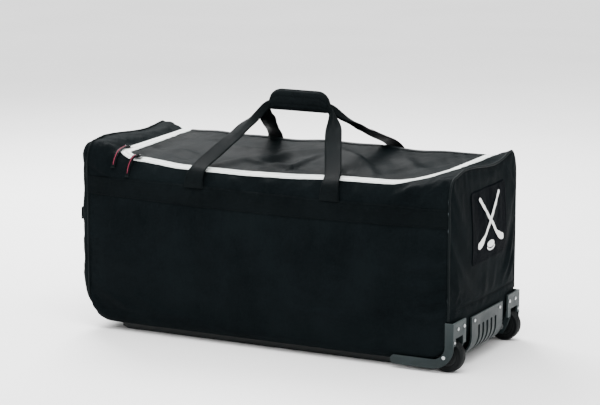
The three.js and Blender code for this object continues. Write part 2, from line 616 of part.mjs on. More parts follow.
function fastener(y, z, headR, shankR, faceX) {
  const head = [[shankR, faceX - 4.5], [shankR, faceX + GAP], [headR, faceX + GAP], [headR, faceX + 1.0],
    [headR * 0.6, faceX + 1.9]];
  const rings = head.map(([r, x]) => steps(0, 360, 12).slice(0, -1).map((d) => {
    const a = rad(d);
    return V(x, y + r * Math.cos(a), z + r * Math.sin(a));
  }));
  return loft(rings);
}
for (const [tag, side] of [['front', -1], ['rear', 1]]) {
  const y = side * WHEEL.y;
  add(`${tag}_wheel_housing`, housing(side), 'moulding');
  const w = WHEEL.w / 2;
  const tyre = [[WHEEL.hubR + 0.25, -w + 1], [33, -w], [35.2, -w + 2.5], [WHEEL.r, -w + 6], [WHEEL.r, w - 6],
    [35.2, w - 2.5], [33, w], [WHEEL.hubR + 0.25, w - 1]];
  add(`${tag}_wheel_tyre`, turnedY(tyre.map(([r, d]) => [r, y + d]), WHEEL.x, WHEEL.r, 36), 'rubber');
  const [b0, b1] = [134.5 - WHEEL.y, 178 - WHEEL.y];
  const hub = [[WHEEL.bore, b0], [8, b0], [8, -8], [18, -8], [18, -w + 1.5], [WHEEL.hubR, -w + 1.5],
    [WHEEL.hubR, w - 1.5], [18, w - 1.5], [18, 8], [8, 8], [8, b1], [WHEEL.bore, b1]];
  const hubProfile = hub.map(([r, d]) => [r, side * (WHEEL.y + d)]);
  add(`${tag}_wheel_hub`, turnedY(hubProfile, WHEEL.x, WHEEL.r, 32), 'moulding');
  const pin = [[WHEEL.axle, 185.3], [WHEEL.axle, 130.7], [7, 130.7], [7, 128.7]];
  const rings = pin.map(([r, d]) => steps(0, 360, 32).slice(0, -1).map((q) => {
    const a = rad(q);
    return V(WHEEL.x + r * Math.cos(a), side * d, WHEEL.r + r * Math.sin(a));
  }));
  add(`${tag}_axle`, loft(rings), 'metal');
  add(`${tag}_housing_rivet_outer`, fastener(side * 160, 97, 4.2, 1.6, PLATE_X), 'metal');
  add(`${tag}_housing_rivet_inner`, fastener(side * 127, 97, 4.2, 1.6, PLATE_X), 'metal');
  add(`${tag}_housing_screw`, fastener(side * 178.5, 70, 3.2, 1.6, PLATE_X), 'metal');
  const rail = [[RAIL.x0, RAIL.h], [RAIL.x0, 6], [RAIL.x0 + 14, 0], [RAIL.x1 - 10, 0], [RAIL.x1, 5],
    [RAIL.x1, RAIL.h]];
  add(`${tag}_skid_rail`, slab(rail, side * RAIL.y - RAIL.w / 2, side * RAIL.y + RAIL.w / 2), 'moulding');
}

// Slotted kick plate between the wheels.
const kick = slab([[PLATE_X, 106], [PLATE_X - 4, 106], ...arc(413, 62, 46, 0, -90, 8), [397, 16 - GAP],
  [397, 12], ...arc(413, 62, 50, -90, 0, 8)], -86, 86);
const slots = [-46, -23, 0, 23, 46].map((y) => box(430, 480, y - 5, y + 5, 24, 82));
const screwHoles = [-70, 70].map((y) => slab(disc(y, 96, 1.9, 12), 455, 470, 'yz'));
add('kick_plate', cut(kick, [...slots, ...screwHoles]), 'moulding');
add('kick_plate_screw_front', fastener(-70, 96, 3.8, 1.6, PLATE_X), 'metal');
add('kick_plate_screw_rear', fastener(70, 96, 3.8, 1.6, PLATE_X), 'metal');

export default part;
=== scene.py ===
"""Looks of the wheeled hockey equipment bag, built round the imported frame, in metres.

The long fabric shell, the lid and the two end panels are smooth surfaces over (u, v). Each gets
its large folds from a list, its small ones from a cloth run, and everything sewn to it (bands,
tapes, patch, stitches) is laid on the same surface.
"""
import json
import math

import bmesh
import bpy
import numpy as np
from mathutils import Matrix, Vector


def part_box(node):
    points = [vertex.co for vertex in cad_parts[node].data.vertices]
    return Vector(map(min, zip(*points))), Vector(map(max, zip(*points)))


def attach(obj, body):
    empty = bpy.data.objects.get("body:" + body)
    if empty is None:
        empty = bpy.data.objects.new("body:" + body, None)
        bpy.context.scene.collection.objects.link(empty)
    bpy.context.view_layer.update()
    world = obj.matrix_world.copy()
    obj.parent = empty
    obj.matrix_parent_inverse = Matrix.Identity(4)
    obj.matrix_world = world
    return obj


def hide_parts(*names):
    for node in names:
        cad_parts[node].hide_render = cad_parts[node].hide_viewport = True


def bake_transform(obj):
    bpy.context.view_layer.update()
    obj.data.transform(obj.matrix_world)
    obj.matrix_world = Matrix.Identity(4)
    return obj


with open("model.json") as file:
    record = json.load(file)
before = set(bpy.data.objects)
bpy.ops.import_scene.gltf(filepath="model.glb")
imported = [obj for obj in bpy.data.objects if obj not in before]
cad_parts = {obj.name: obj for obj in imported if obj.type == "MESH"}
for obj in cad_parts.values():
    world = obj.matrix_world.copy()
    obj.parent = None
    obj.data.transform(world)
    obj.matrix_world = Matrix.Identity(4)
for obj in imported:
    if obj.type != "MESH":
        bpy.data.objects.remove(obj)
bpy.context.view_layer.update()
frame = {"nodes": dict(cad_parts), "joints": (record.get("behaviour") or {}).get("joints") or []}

# ---------------------------------------------------------------- sizes, in metres
HALF_D = -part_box("front_panel")[0].y        # front and rear faces
BASE_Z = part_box("bottom_panel")[0].z        # underside of the base
SEAM_X = 0.449                              # end seams
FLAT_Y = 0.157                              # where the base starts to roll up
ROLL_R = HALF_D - FLAT_Y                    # radius of that roll
END_R = 0.050                               # how the base turns up at both ends
EDGE_Z = 0.060                              # height of the rounded edges along the top
ZIP_Y, HINGE_Y = -0.148, 0.150              # front run of the zip, and the lid's fold line
REAR_Z, CORNER_Z = 0.419, 0.434             # rear edge of the top, and its raised corners
FRONT_X, FRONT_H = np.array([               # height of the zip's front run, by place along the bag
    (-446, 441), (-430, 433), (-392, 412), (-364, 409), (-345, 400), (-310, 399), (-230, 391), (-60, 389),
    (60, 392), (160, 398), (300, 400), (330, 403), (360, 408), (402, 420), (430, 430), (446, 434)]).T / 1000
LID_X0, LID_X1, LID_R0, LID_R1 = -0.378, 0.402, 0.024, 0.100      # the zip's ends and corner radii
BAND_Z, BAND_HALF, BAND_SAG = 0.337, 0.021, 0.008
STRAP_X, STRAP_W, STRAP_T = 0.168, 0.047, 0.0022
STRAP_CLEAR = 0.027                         # half the width kept free round a strap's sewn end
GRIP_Z, GRIP_L, GRIP_H, GRIP_T = 0.535, 0.075, 0.0225, 0.013      # middle, half-length, half-height, depth
WELL_X, WELL_Y, WELL_Z = 0.394, (0.1307, 0.1795), 0.082           # openings for the wheel housings
PIPE_R = 0.0026
SKIN_T = 0.0030                             # thickness of fabric with its lining
CELL, RUN_CELL = 0.0056, 0.0078             # spacing of the finished fabric grids, and of the cloth run's
ZIP_HALF = 0.0075                           # fabric stops this far from the middle of the zip

WALL_LEN, FRONT_EDGE, REAR_EDGE = 0.298, 0.075, 0.073
ROLL_LEN = ROLL_R * math.pi / 2
KNOTS = np.cumsum([0, ROLL_LEN, WALL_LEN, FRONT_EDGE, HINGE_Y - ZIP_Y, REAR_EDGE, WALL_LEN + 0.019,
                   ROLL_LEN, 2 * FLAT_Y])


# ---------------------------------------------------------------- small helpers
def mix(a, b, t):
    return a + (b - a) * t


def smooth(t):
    t = np.clip(t, 0, 1)
    return t * t * (3 - 2 * t)


def unit(v):
    return v / np.maximum(np.linalg.norm(v, axis=-1, keepdims=True), 1e-12)


def grid(a, b):
    """Two coordinates over every pair of values."""
    return np.meshgrid(a, b, indexing="ij")


def points_of(*parts):
    """Points from their coordinates."""
    return np.stack(np.broadcast_arrays(*parts), -1)


def lines(marks, step):
    """Even spacing of about step between each two of the sorted marks, which all stay."""
    out = [np.array([marks[0]])]
    for a, b in zip(marks[:-1], marks[1:]):
        out.append(np.linspace(a, b, max(1, round((b - a) / step)) + 1)[1:])
    return np.concatenate(out)


def run_of(path):
    """Distance along a path at each of its points."""
    return np.concatenate([[0], np.cumsum(np.linalg.norm(np.diff(path, axis=0), axis=1))])


def sample(marks, run, path):
    """The path's coordinates at some distances along it."""
    return np.stack([np.interp(marks, run, column) for column in path.T], -1)


def wave_noise(a, b, scale, seed, octaves=3):
    """Smooth noise in about -1..1 over two coordinates, the same on every run."""
    rng = np.random.default_rng(seed)
    total = np.zeros(np.broadcast(a, b).shape)
    for octave in range(octaves):
        k = 2 * math.pi / scale * 1.9 ** octave
        for turn in rng.uniform(0, math.tau, 3):
            phase = rng.uniform(0, math.tau)
            total = total + np.sin(k * (a * math.cos(turn) + b * math.sin(turn)) + phase) / 1.8 ** octave
    return total / 4.2


def fold(a, b, points, width, height, lean=0.5):
    """A ridge along a line of (a, b) points, steeper on its left side, that fades at both ends."""
    best = np.full(np.broadcast(a, b).shape, 1e9)
    along = np.zeros_like(best)
    side = np.zeros_like(best)
    lengths = [math.dist(p, q) for p, q in zip(points[:-1], points[1:])]
    done = 0.0
    for (p, q), length in zip(zip(points[:-1], points[1:]), lengths):
        d = (q[0] - p[0], q[1] - p[1])
        t = np.clip(((a - p[0]) * d[0] + (b - p[1]) * d[1]) / length ** 2, 0, 1)
        off = np.hypot(a - p[0] - t * d[0], b - p[1] - t * d[1])
        near = off < best
        best = np.where(near, off, best)
        along = np.where(near, (done + t * length) / sum(lengths), along)
        side = np.where(near, (a - p[0]) * d[1] - (b - p[1]) * d[0], side)
        done += length
    reach = width * np.where(side > 0, 1 + lean, 1 - lean)
    return height * np.exp(-(best / reach) ** 2) * np.sin(math.pi * mix(0.08, 0.92, along))


# ---------------------------------------------------------------- the shell's shape
def front_top(x):
    spread = np.linspace(-0.014, 0.014, 7)
    return sum(np.interp(x + s, FRONT_X, FRONT_H) for s in spread) / len(spread)


def rear_top(x):
    wave = 0.0022 * np.sin(x * 17 + 0.6) + 0.0014 * np.sin(x * 41 + 2.0)
    return REAR_Z + wave * smooth((0.36 - np.abs(x)) / 0.1) + (
        CORNER_Z - REAR_Z) * np.clip((np.abs(x) - 0.405) / 0.041, 0, 1) ** 1.2


def base_z(x):
    over = np.clip(np.abs(x) - (SEAM_X - END_R + 0.001), 0, END_R * 0.985)
    return BASE_Z + END_R - np.sqrt(END_R ** 2 - over ** 2)


END_SAG_Y = np.array([-182, -166, -149, -128, -108, -70, -30, 10, 51, 85, 115, 140, 158, 182]) / 1000
END_SAG = np.array([0, 8, 12, 7, 3, 4, 8, 13, 16, 15, 10, 4, 0, 0]) / 1000


def end_sag(x, y):
    """How far the top sags beside the end seams, deeper at the wheel end."""
    share = np.where(x > 0, 1.0, 0.6)
    return share * np.interp(y, END_SAG_Y, END_SAG) * smooth((np.abs(x) - 0.408) / 0.038)


def top_z(x, y):
    front, rear = front_top(x), rear_top(x)
    past = np.clip((ZIP_Y - y) / (HALF_D + ZIP_Y), 0, 1)
    beyond = np.clip((y - HINGE_Y) / (HALF_D - HINGE_Y), 0, 1)
    t = np.clip((y - ZIP_Y) / (HINGE_Y - ZIP_Y), 0, 1)
    crown = 0.006 * np.sin(math.pi * t) * np.clip(1 - ((x - 0.012) / 0.355) ** 2, 0, 1)
    z = mix(front, rear, t) + crown
    z = z - EDGE_Z * (1 - np.sqrt(1 - past ** 2)) - EDGE_Z * (1 - np.sqrt(1 - beyond ** 2))
    return z - end_sag(x, y)


def shell_base(x, v):
    """The long shell: x along the bag, v round the section from the front base edge over the top."""
    x, v = np.broadcast_arrays(np.asarray(x, float), np.asarray(v, float))
    seg = np.clip(np.searchsorted(KNOTS, v, side="right") - 1, 0, 7)
    t = (v - KNOTS[seg]) / (KNOTS[seg + 1] - KNOTS[seg])
    low, front, rear = base_z(x), front_top(x) - EDGE_Z, rear_top(x) - EDGE_Z
    a = t * math.pi / 2
    y = np.select([seg == 0, seg == 1, seg == 2, seg == 3, seg == 4, seg == 5, seg == 6],
                  [-(FLAT_Y + ROLL_R * np.sin(a)), np.full_like(t, -HALF_D),
                   ZIP_Y - (HALF_D + ZIP_Y) * np.cos(a), mix(ZIP_Y, HINGE_Y, t),
                   HINGE_Y + (HALF_D - HINGE_Y) * np.sin(a), np.full_like(t, HALF_D),
                   FLAT_Y + ROLL_R * np.cos(a)], mix(FLAT_Y, -FLAT_Y, t))
    top = top_z(x, y)
    z = np.select([seg == 0, seg == 1, (seg > 1) & (seg < 5), seg == 5, seg == 6],
                  [low + ROLL_R * (1 - np.cos(a)), mix(low + ROLL_R, front, t), top,
                   mix(rear, low + ROLL_R, t), low + ROLL_R * (1 - np.sin(a))], low)
    return points_of(x, y, z)


def v_of_y(y):
    """Section coordinate of a point on the top, seen from above."""
    ahead = np.arccos(np.clip((ZIP_Y - y) / (HALF_D + ZIP_Y), 0, 1)) / (math.pi / 2)
    behind = np.arcsin(np.clip((y - HINGE_Y) / (HALF_D - HINGE_Y), 0, 1)) / (math.pi / 2)
    v = KNOTS[3] + (y - ZIP_Y)
    v = np.where(y < ZIP_Y, mix(KNOTS[2], KNOTS[3], ahead), v)
    return np.where(y > HINGE_Y, mix(KNOTS[4], KNOTS[5], behind), v)


def v_of_z(x, z, side):
    """Section coordinate of a point on the front (side -1) or rear wall."""
    low = base_z(x) + ROLL_R
    if side < 0:
        return mix(KNOTS[1], KNOTS[2], (z - low) / (front_top(x) - EDGE_Z - low))
    high = rear_top(x) - EDGE_Z
    return mix(KNOTS[5], KNOTS[6], (high - z) / (high - low))


def band_mid(x):
    return BAND_Z - BAND_SAG * (1 - (x / 0.4452) ** 2)


def zip_distance(x, y):
    """Distance outwards from the middle of the zip, in plan."""
    straight = np.maximum(np.maximum(LID_X0 - x, x - LID_X1), ZIP_Y - y)
    cx0, cy0 = LID_X0 + LID_R0, ZIP_Y + LID_R0
    cx1, cy1 = LID_X1 - LID_R1, ZIP_Y + LID_R1
    left = np.hypot(x - cx0, y - cy0) - LID_R0
    right = np.hypot(x - cx1, y - cy1) - LID_R1
    d = np.where((x < cx0) & (y < cy0), left, straight)
    return np.where((x > cx1) & (y < cy1), right, d)


def folds(*rows):
    """Folds from rows in millimetres: width, height, lean, then the points of the ridge."""
    return [([(a / 1000, b / 1000) for a, b in points], width / 1000, height / 1000, lean)
            for width, height, lean, *points in rows]


def relief(a, b, rows):
    return sum(fold(a, b, *row) for row in rows)


LID_FOLDS = folds(
    (20, 7.5, 0.45, (-300, -95), (-155, -120), (-48, 12), (20, 90)),
    (12, 5.5, -0.3, (-110, -66), (-46, -60), (24, -86), (24, -26), (36, 28)),
    (22, 9.5, 0.45, (55, 100), (100, 45), (143, 14), (190, -40), (226, -90)),
    (20, 5, 0.2, (210, 100), (262, 30), (330, -30)),
    (22, 5, 0.3, (-300, 90), (-200, 30), (-120, 60)),
    (14, 3.5, 0, (-352, -60), (-290, -30), (-210, -60)),
    (10, 2.6, 0, (100, -118), (150, -112), (196, -126)),
    (30, -7.5, 0, (128, -62), (176, -50)),
    (30, -5.5, 0, (-60, -20), (-10, -40)),
    (22, -4.5, 0, (250, -60), (330, 60)),
)
FRONT_FOLDS = folds(
    (10, 3.6, 0.3, (444, 236), (398, 226), (352, 222)),
    (11, 4.2, 0.3, (446, 196), (400, 182), (340, 186)),
    (8, 3, 0.3, (446, 160), (410, 152), (372, 158)),
    (10, 3.6, 0.3, (446, 126), (402, 116), (352, 120)),
    (8, 2.4, 0.3, (444, 262), (414, 268), (380, 262)),
    (14, -4, 0, (160, 222), (196, 210)),
    (12, 3, 0, (165, 196), (205, 192)),
    (7, 2, 0.6, (60, 104), (150, 108), (250, 103)),
    (12, 3.4, 0.3, (-330, 100), (-262, 62), (-150, 48)),
    (9, 2.6, 0.3, (-400, 90), (-330, 58), (-240, 42)),
    (30, 2.2, 0, (-200, 240), (-100, 226), (0, 232)),
    (24, 2.4, 0, (-420, 190), (-330, 160), (-260, 164)),
    (34, 2.6, 0, (-100, 160), (20, 140), (120, 150)),
    (18, 2.4, 0.2, (230, 290), (262, 236), (300, 176)),
)
UPPER_FOLDS = folds(
    (10, 3.4, 0.3, (300, 366), (352, 392), (398, 408)),
    (9, 3.2, 0.3, (372, 360), (412, 396), (430, 414)),
    (11, 2.8, 0.2, (100, 352), (112, 386)),
    (10, 2.6, 0.2, (236, 352), (222, 384)),
    (13, 2.8, 0.2, (20, 350), (4, 388)),
    (11, 2.6, 0.2, (-60, 350), (-90, 386)),
    (10, 2.4, 0.2, (-130, 352), (-120, 384)),
    (14, 3, 0.2, (-250, 352), (-300, 390)),
    (12, 3, 0.2, (-340, 352), (-372, 396)),
)


def shell_relief(x, v, p):
    """How far the fabric stands off its plain shape: swell, folds and the ripples beside seams."""
    y, z = p[..., 1], p[..., 2]
    zip_off, to_seam, to_band = zip_distance(x, y), SEAM_X - np.abs(x), z - band_mid(x)
    top = (v > KNOTS[2]) & (v < KNOTS[5])
    wall = (v > KNOTS[0]) & (v < KNOTS[2]) | (v > KNOTS[5]) & (v < KNOTS[7])
    front = smooth((v - KNOTS[1]) / 0.02) * (v < KNOTS[3])
    rear = smooth((KNOTS[6] - v) / 0.02) * (v > KNOTS[4])
    below, above = smooth((-to_band - BAND_HALF) / 0.014), smooth((to_band - BAND_HALF) / 0.012)

    lid = smooth(-(zip_off + 0.010) / 0.020) * smooth((HINGE_Y - 0.002 - y) / 0.020) * top
    out = (1.7 * relief(x, y, LID_FOLDS) + 0.0024 * wave_noise(x, y, 0.110, 3)) * lid
    out = out + 1.5 * front * (relief(x, z, FRONT_FOLDS) * below
                               + relief(x, z, UPPER_FOLDS) * above * smooth((zip_off - 0.013) / 0.010))
    out = out + rear * (relief(-x, z, FRONT_FOLDS) * below
                        + relief(-x, z, UPPER_FOLDS) * above * smooth((REAR_Z - 0.006 - z) / 0.02))

    full = np.sin(math.pi * np.clip((z - BASE_Z) / (BAND_Z - BASE_Z), 0, 1))
    swell = full * (0.0024 * smooth(to_seam / 0.05) + 0.0010 * wave_noise(x, z * 0.6, 0.120, 5))
    by_seam = np.exp(-(to_seam / 0.024) ** 2) * smooth(to_seam / 0.010)
    pucker = 0.0011 * by_seam * np.sin(z * 300 + 2.2 * wave_noise(x * 0, z, 0.1, 8))
    by_band = np.exp(-(to_band / 0.034) ** 2) * smooth(to_seam / 0.05)
    gather = np.sin(x * 230 + 3.0 * wave_noise(x, 0 * x, 0.14, 9)) * (0.6 + 0.4 * wave_noise(x, z, 0.2, 4))
    out = out + wall * (swell + pucker + 0.0007 * gather * by_band)

    border_top = smooth((zip_off - 0.013) / 0.012) * top * smooth(to_seam / 0.010)
    left_roll = 0.007 * np.sin(math.pi * np.clip((-0.390 - x) / 0.060, 0, 1))
    return out + border_top * (left_roll + 0.0020 * wave_noise(x * 1.6, y, 0.050, 12))


# ---------------------------------------------------------------- surfaces
class Skin:
    """A smooth surface over (u, v): a shape, plus an offset kept on a grid after the cloth run."""

    def __init__(self, shape, us, vs):
        self.shape, self.us, self.vs = shape, us, vs
        self.shift = np.zeros((len(us), len(vs), 3))

    def offset(self, u, v):
        u, v = np.broadcast_arrays(u, v)
        i = np.clip(np.searchsorted(self.us, u, side="right") - 1, 0, len(self.us) - 2)
        j = np.clip(np.searchsorted(self.vs, v, side="right") - 1, 0, len(self.vs) - 2)
        s = np.clip((u - self.us[i]) / (self.us[i + 1] - self.us[i]), 0, 1)[..., None]
        t = np.clip((v - self.vs[j]) / (self.vs[j + 1] - self.vs[j]), 0, 1)[..., None]
        out = 0
        for di, ws in zip((-1, 0, 1, 2), cubic(s)):
            for dj, wt in zip((-1, 0, 1, 2), cubic(t)):
                a = np.clip(i + di, 0, len(self.us) - 1)
                b = np.clip(j + dj, 0, len(self.vs) - 1)
                out = out + ws * wt * self.shift[a, b]
        return out

    def at(self, u, v, lift=0.0):
        p = self.shape(u, v) + self.offset(u, v)
        return p + self.normal(u, v) * np.asarray(lift)[..., None] if np.any(lift) else p

    def normal(self, u, v, e=0.0015):
        du = self.at(u + e, v) - self.at(u - e, v)
        dv = self.at(u, v + e) - self.at(u, v - e)
        return unit(np.cross(du, dv))


def cubic(t):
    """Catmull-Rom weights of the four grid lines round t."""
    return ((-t + 2 * t * t - t ** 3) / 2, (2 - 5 * t * t + 3 * t ** 3) / 2,
            (t + 4 * t * t - 3 * t ** 3) / 2, (t ** 3 - t * t) / 2)


def shell_shape(x, v):
    """The shell's plain shape with its relief along the normal."""
    x, v = np.broadcast_arrays(np.clip(x, -SEAM_X, SEAM_X), np.clip(v, 0, KNOTS[8]))
    p = shell_base(x, v)
    e = 0.001
    du = shell_base(np.minimum(x + e, SEAM_X), v) - shell_base(np.maximum(x - e, -SEAM_X), v)
    dv = shell_base(x, np.minimum(v + e, KNOTS[8])) - shell_base(x, np.maximum(v - e, 0))
    return p + unit(np.cross(du, dv)) * shell_relief(x, v, p)[..., None]


PATCH_AT, PATCH_HALF, PATCH_R = (0.010, 0.2985), (0.097, 0.080), 0.012
END_SEAM_Z = 0.135
END_FOLDS = folds(
    (10, 4.8, 0.3, (76, 152), (120, 196), (166, 262)),
    (8, 3.6, 0.3, (118, 146), (146, 176), (176, 206)),
    (9, 2.4, 0.2, (-20, 142), (-12, 196)),
    (10, 2.2, 0.2, (20, 146), (44, 204)),
    (10, 3, 0.3, (-60, 414), (0, 398), (70, 400)),
    (11, 3.4, 0.3, (110, 410), (140, 380), (170, 330)),
    (10, 2.2, 0.2, (-160, 240), (-150, 180), (-158, 120)),
    (7, 1.8, 0, (-150, 126), (-60, 118), (60, 124), (150, 130)),
)
END_ROLL = {-1: 0.0230, 1: 0.0030}          # how far each end panel rolls out beyond its seam
END_ROLL_R, END_ROLL_LOW = 0.022, 0.0704    # over what distance from its edges, and from its lower one


def quarter(t):
    """A quarter circle from 0 at t = 0 to 1 at t = 1 and beyond."""
    return np.sqrt(1 - (1 - np.clip(t, 0, 1)) ** 2)


def end_low(y):
    """Lowest z of an end panel at y."""
    over = np.clip((np.abs(y) - FLAT_Y) / ROLL_R, 0, 1)
    return base_z(SEAM_X) + ROLL_R * (1 - np.sqrt(1 - over ** 2))


def end_shape(side):
    """An end panel over (u, v): u runs across, -1 to 1, and v up, 0 to 1."""
    def shape(u, v):
        u, v = np.broadcast_arrays(np.clip(u, -1, 1), np.clip(v, 0, 1))
        y = side * HALF_D * np.sin(u * math.pi / 2)
        low, high = end_low(y), top_z(side * SEAM_X, y)
        z = mix(low, high, v)
        swell = 0.0070 * (1 - (2 * v - 1) ** 4) * (1 - (y / HALF_D) ** 4)
        swell = swell + END_ROLL[side] * np.prod([quarter(d / r) for d, r in (
            (HALF_D - np.abs(y), END_ROLL_R), (high - z, END_ROLL_R), (z - low, END_ROLL_LOW))], axis=0)
        rim = smooth((1 - np.abs(y) / HALF_D) / 0.06) * smooth(v / 0.04) * smooth((1 - v) / 0.04)
        rough = relief(y, z, END_FOLDS) + 0.0012 * wave_noise(y, z, 0.080, 21)
        rough = rough - 0.0016 * np.exp(-((z - END_SEAM_Z) / 0.0035) ** 2)
        clear = smooth((z - 0.112) / 0.020)
        return points_of(side * (SEAM_X + swell + rough * rim * clear), y, z)
    return shape


shell = Skin(shell_shape, lines([-SEAM_X, SEAM_X], RUN_CELL), lines(list(KNOTS[:8]), RUN_CELL))
ends = {side: Skin(end_shape(side), np.linspace(-1, 1, 61), np.linspace(0, 1, 57)) for side in (-1, 1)}


# ---------------------------------------------------------------- mesh making
def new_object(name, verts, faces, uvs=None):
    mesh = bpy.data.meshes.new(name)
    mesh.from_pydata([tuple(p) for p in np.asarray(verts, float)], [], [tuple(f) for f in faces])
    mesh.update()
    if uvs is not None:
        layer = mesh.uv_layers.new(name="cloth")
        loops = np.zeros(len(mesh.loops), int)
        mesh.loops.foreach_get("vertex_index", loops)
        layer.data.foreach_set("uv", np.asarray(uvs, float)[loops].ravel())
    mesh.polygons.foreach_set("use_smooth", [True] * len(mesh.polygons))
    ob = bpy.data.objects.new(name, mesh)
    bpy.context.scene.collection.objects.link(ob)
    return ob


def grid_faces(rows, cols, wrap_rows=False, wrap_cols=False):
    i = np.arange(rows if wrap_rows else rows - 1)[:, None]
    j = np.arange(cols if wrap_cols else cols - 1)[None, :]
    i2, j2 = (i + 1) % rows, (j + 1) % cols
    quads = points_of(i * cols + j, i2 * cols + j, i2 * cols + j2, i * cols + j2)
    return quads.reshape(-1, 4)


def grid_object(name, points, uv=None, **wrap):
    uvs = None if uv is None else uv.reshape(-1, 2)
    return new_object(name, points.reshape(-1, 3), grid_faces(*points.shape[:2], **wrap), uvs)


def keep_faces(points, faces, inside, uv):
    """The faces whose corners are inside, with a triangle where one corner of a quad isn't."""
    kept = [tuple(v for v in f if inside[v]) for f in faces]
    kept = [f for f in kept if len(f) >= 3]
    used = sorted({v for f in kept for v in f})
    number = {v: k for k, v in enumerate(used)}
    return points[used], [tuple(number[v] for v in f) for f in kept], uv[used]


def thicken(ob, depth, offset=-1.0, lining=False):
    mod = ob.modifiers.new("thickness", "SOLIDIFY")
    mod.thickness = depth
    mod.offset = offset
    mod.use_even_offset = False
    if lining:
        mod.material_offset = 1
    return ob


def rings_object(name, rings, uv):
    """A solid through rings of points; the first and last are capped."""
    rows, cols = rings.shape[:2]
    faces = [tuple(f) for f in grid_faces(rows, cols, wrap_cols=True)]
    faces += [tuple(range(cols))[::-1], tuple((rows - 1) * cols + k for k in range(cols))]
    return outward(new_object(name, rings.reshape(-1, 3), faces, uv.reshape(-1, 2)))


def outward(ob):
    """Turns the faces of a closed mesh outwards."""
    bm = bmesh.new()
    bm.from_mesh(ob.data)
    bmesh.ops.recalc_face_normals(bm, faces=bm.faces)
    bm.to_mesh(ob.data)
    bm.free()
    return ob


def outward_from(ob, centre):
    """Turns an open sheet so that its faces look away from a point."""
    total = sum((p.center - Vector(centre)).dot(p.normal) * p.area for p in ob.data.polygons)
    if total < 0:
        ob.data.flip_normals()


def path_frames(path, closed=False):
    """Two steady normals along a path of points."""
    ahead = np.roll(path, -1, 0) - np.roll(path, 1, 0)
    if not closed:
        ahead[0], ahead[-1] = path[1] - path[0], path[-1] - path[-2]
    tangent = unit(ahead)
    normals = [unit(np.cross(tangent[0], [0.31, 0.57, 0.76]))]
    for t in tangent[1:]:
        normals.append(unit(normals[-1] - t * normals[-1].dot(t)))
    return np.array(normals), np.cross(tangent, normals)


def tube(name, path, radius, sides=10, closed=False):
    a, b = path_frames(path, closed)
    turn = np.linspace(0, math.tau, sides, endpoint=False)
    rings = path[:, None] + radius * (a[:, None] * np.cos(turn)[None, :, None]
                                      + b[:, None] * np.sin(turn)[None, :, None])
    uv = points_of(*grid(run_of(path), turn * radius))
    if closed:
        return outward(grid_object(name, rings, uv, wrap_rows=True, wrap_cols=True))
    return rings_object(name, rings, uv)


def even(path, step, closed=False):
    """The path again with points at an even step."""
    if closed:
        path = np.vstack([path, path[:1]])
    run = run_of(path)
    out = sample(np.linspace(0, run[-1], max(2, round(run[-1] / step) + 1)), run, path)
    return out[:-1] if closed else out


def stitches(name, points, normals, radius=0.00045, length=0.0030, gap=0.0012):
    """A row of short threads laid along points, each a small six-sided grain."""
    run = run_of(points)
    verts, faces = [], []
    turn = np.linspace(0, math.tau, 6, endpoint=False)
    for s in np.arange(gap, run[-1] - length, length + gap):
        core = sample(s + length * np.array([0, 0.15, 0.85, 1]), run, points)
        up = unit(sample(s, run, normals))
        side = np.cross(unit(core[3] - core[0]), up)
        base = len(verts)
        for p, r, rise in zip(core, (0.35, 1, 1, 0.35), (0.1, 0.45, 0.45, 0.1)):
            ring = [side * math.cos(q) + up * math.sin(q) for q in turn]
            verts.extend(p + up * rise * radius + radius * r * spoke for spoke in ring)
        faces.extend(tuple(int(base + k) for k in f) for f in grid_faces(4, 6, wrap_cols=True))
        faces += [tuple(range(base, base + 6))[::-1], tuple(range(base + 18, base + 24))]
    return new_object(name, verts, faces)


# ---------------------------------------------------------------- cloth run
def settle(skin, hold, press, pressure, cap, slack=0.010, gravity=0.35, frames=16):
    """Lets Blender's cloth slacken and settle over the skin's grid, and keeps what it did."""
    u, v = grid(skin.us, skin.vs)
    rest = skin.at(u, v)
    ob = grid_object("cloth_run", rest)
    for name, weight in (("hold", hold), ("press", press)):
        group, flat = ob.vertex_groups.new(name=name), weight.ravel()
        for k in np.nonzero(flat > 0.001)[0]:
            group.add([int(k)], float(flat[k]), "REPLACE")
    mod = ob.modifiers.new("cloth", "CLOTH")
    cloth = mod.settings
    cloth.quality = 5
    cloth.mass = 0.20
    cloth.tension_stiffness = cloth.compression_stiffness = 30
    cloth.shear_stiffness = 12
    cloth.bending_stiffness = 1.2
    cloth.tension_damping = cloth.compression_damping = 12
    cloth.bending_damping = 1.5
    cloth.air_damping = 3
    cloth.vertex_group_mass = "hold"
    cloth.shrink_min = cloth.shrink_max = -slack
    cloth.effector_weights.gravity = gravity
    cloth.use_pressure = True
    cloth.uniform_pressure_force = pressure
    cloth.vertex_group_pressure = "press"
    mod.collision_settings.use_collision = False
    mod.point_cache.frame_start, mod.point_cache.frame_end = 1, frames
    scene = bpy.context.scene
    for step in range(1, frames + 1):
        scene.frame_set(step)
    evaluated = ob.evaluated_get(bpy.context.evaluated_depsgraph_get())
    moved = np.zeros(len(ob.data.vertices) * 3)
    evaluated.data.vertices.foreach_get("co", moved)
    change = moved.reshape(rest.shape) - rest
    size = np.linalg.norm(change, axis=-1, keepdims=True)
    skin.shift = change * cap / (size + cap)
    scene.frame_set(1)
    bpy.data.objects.remove(ob, do_unlink=True)


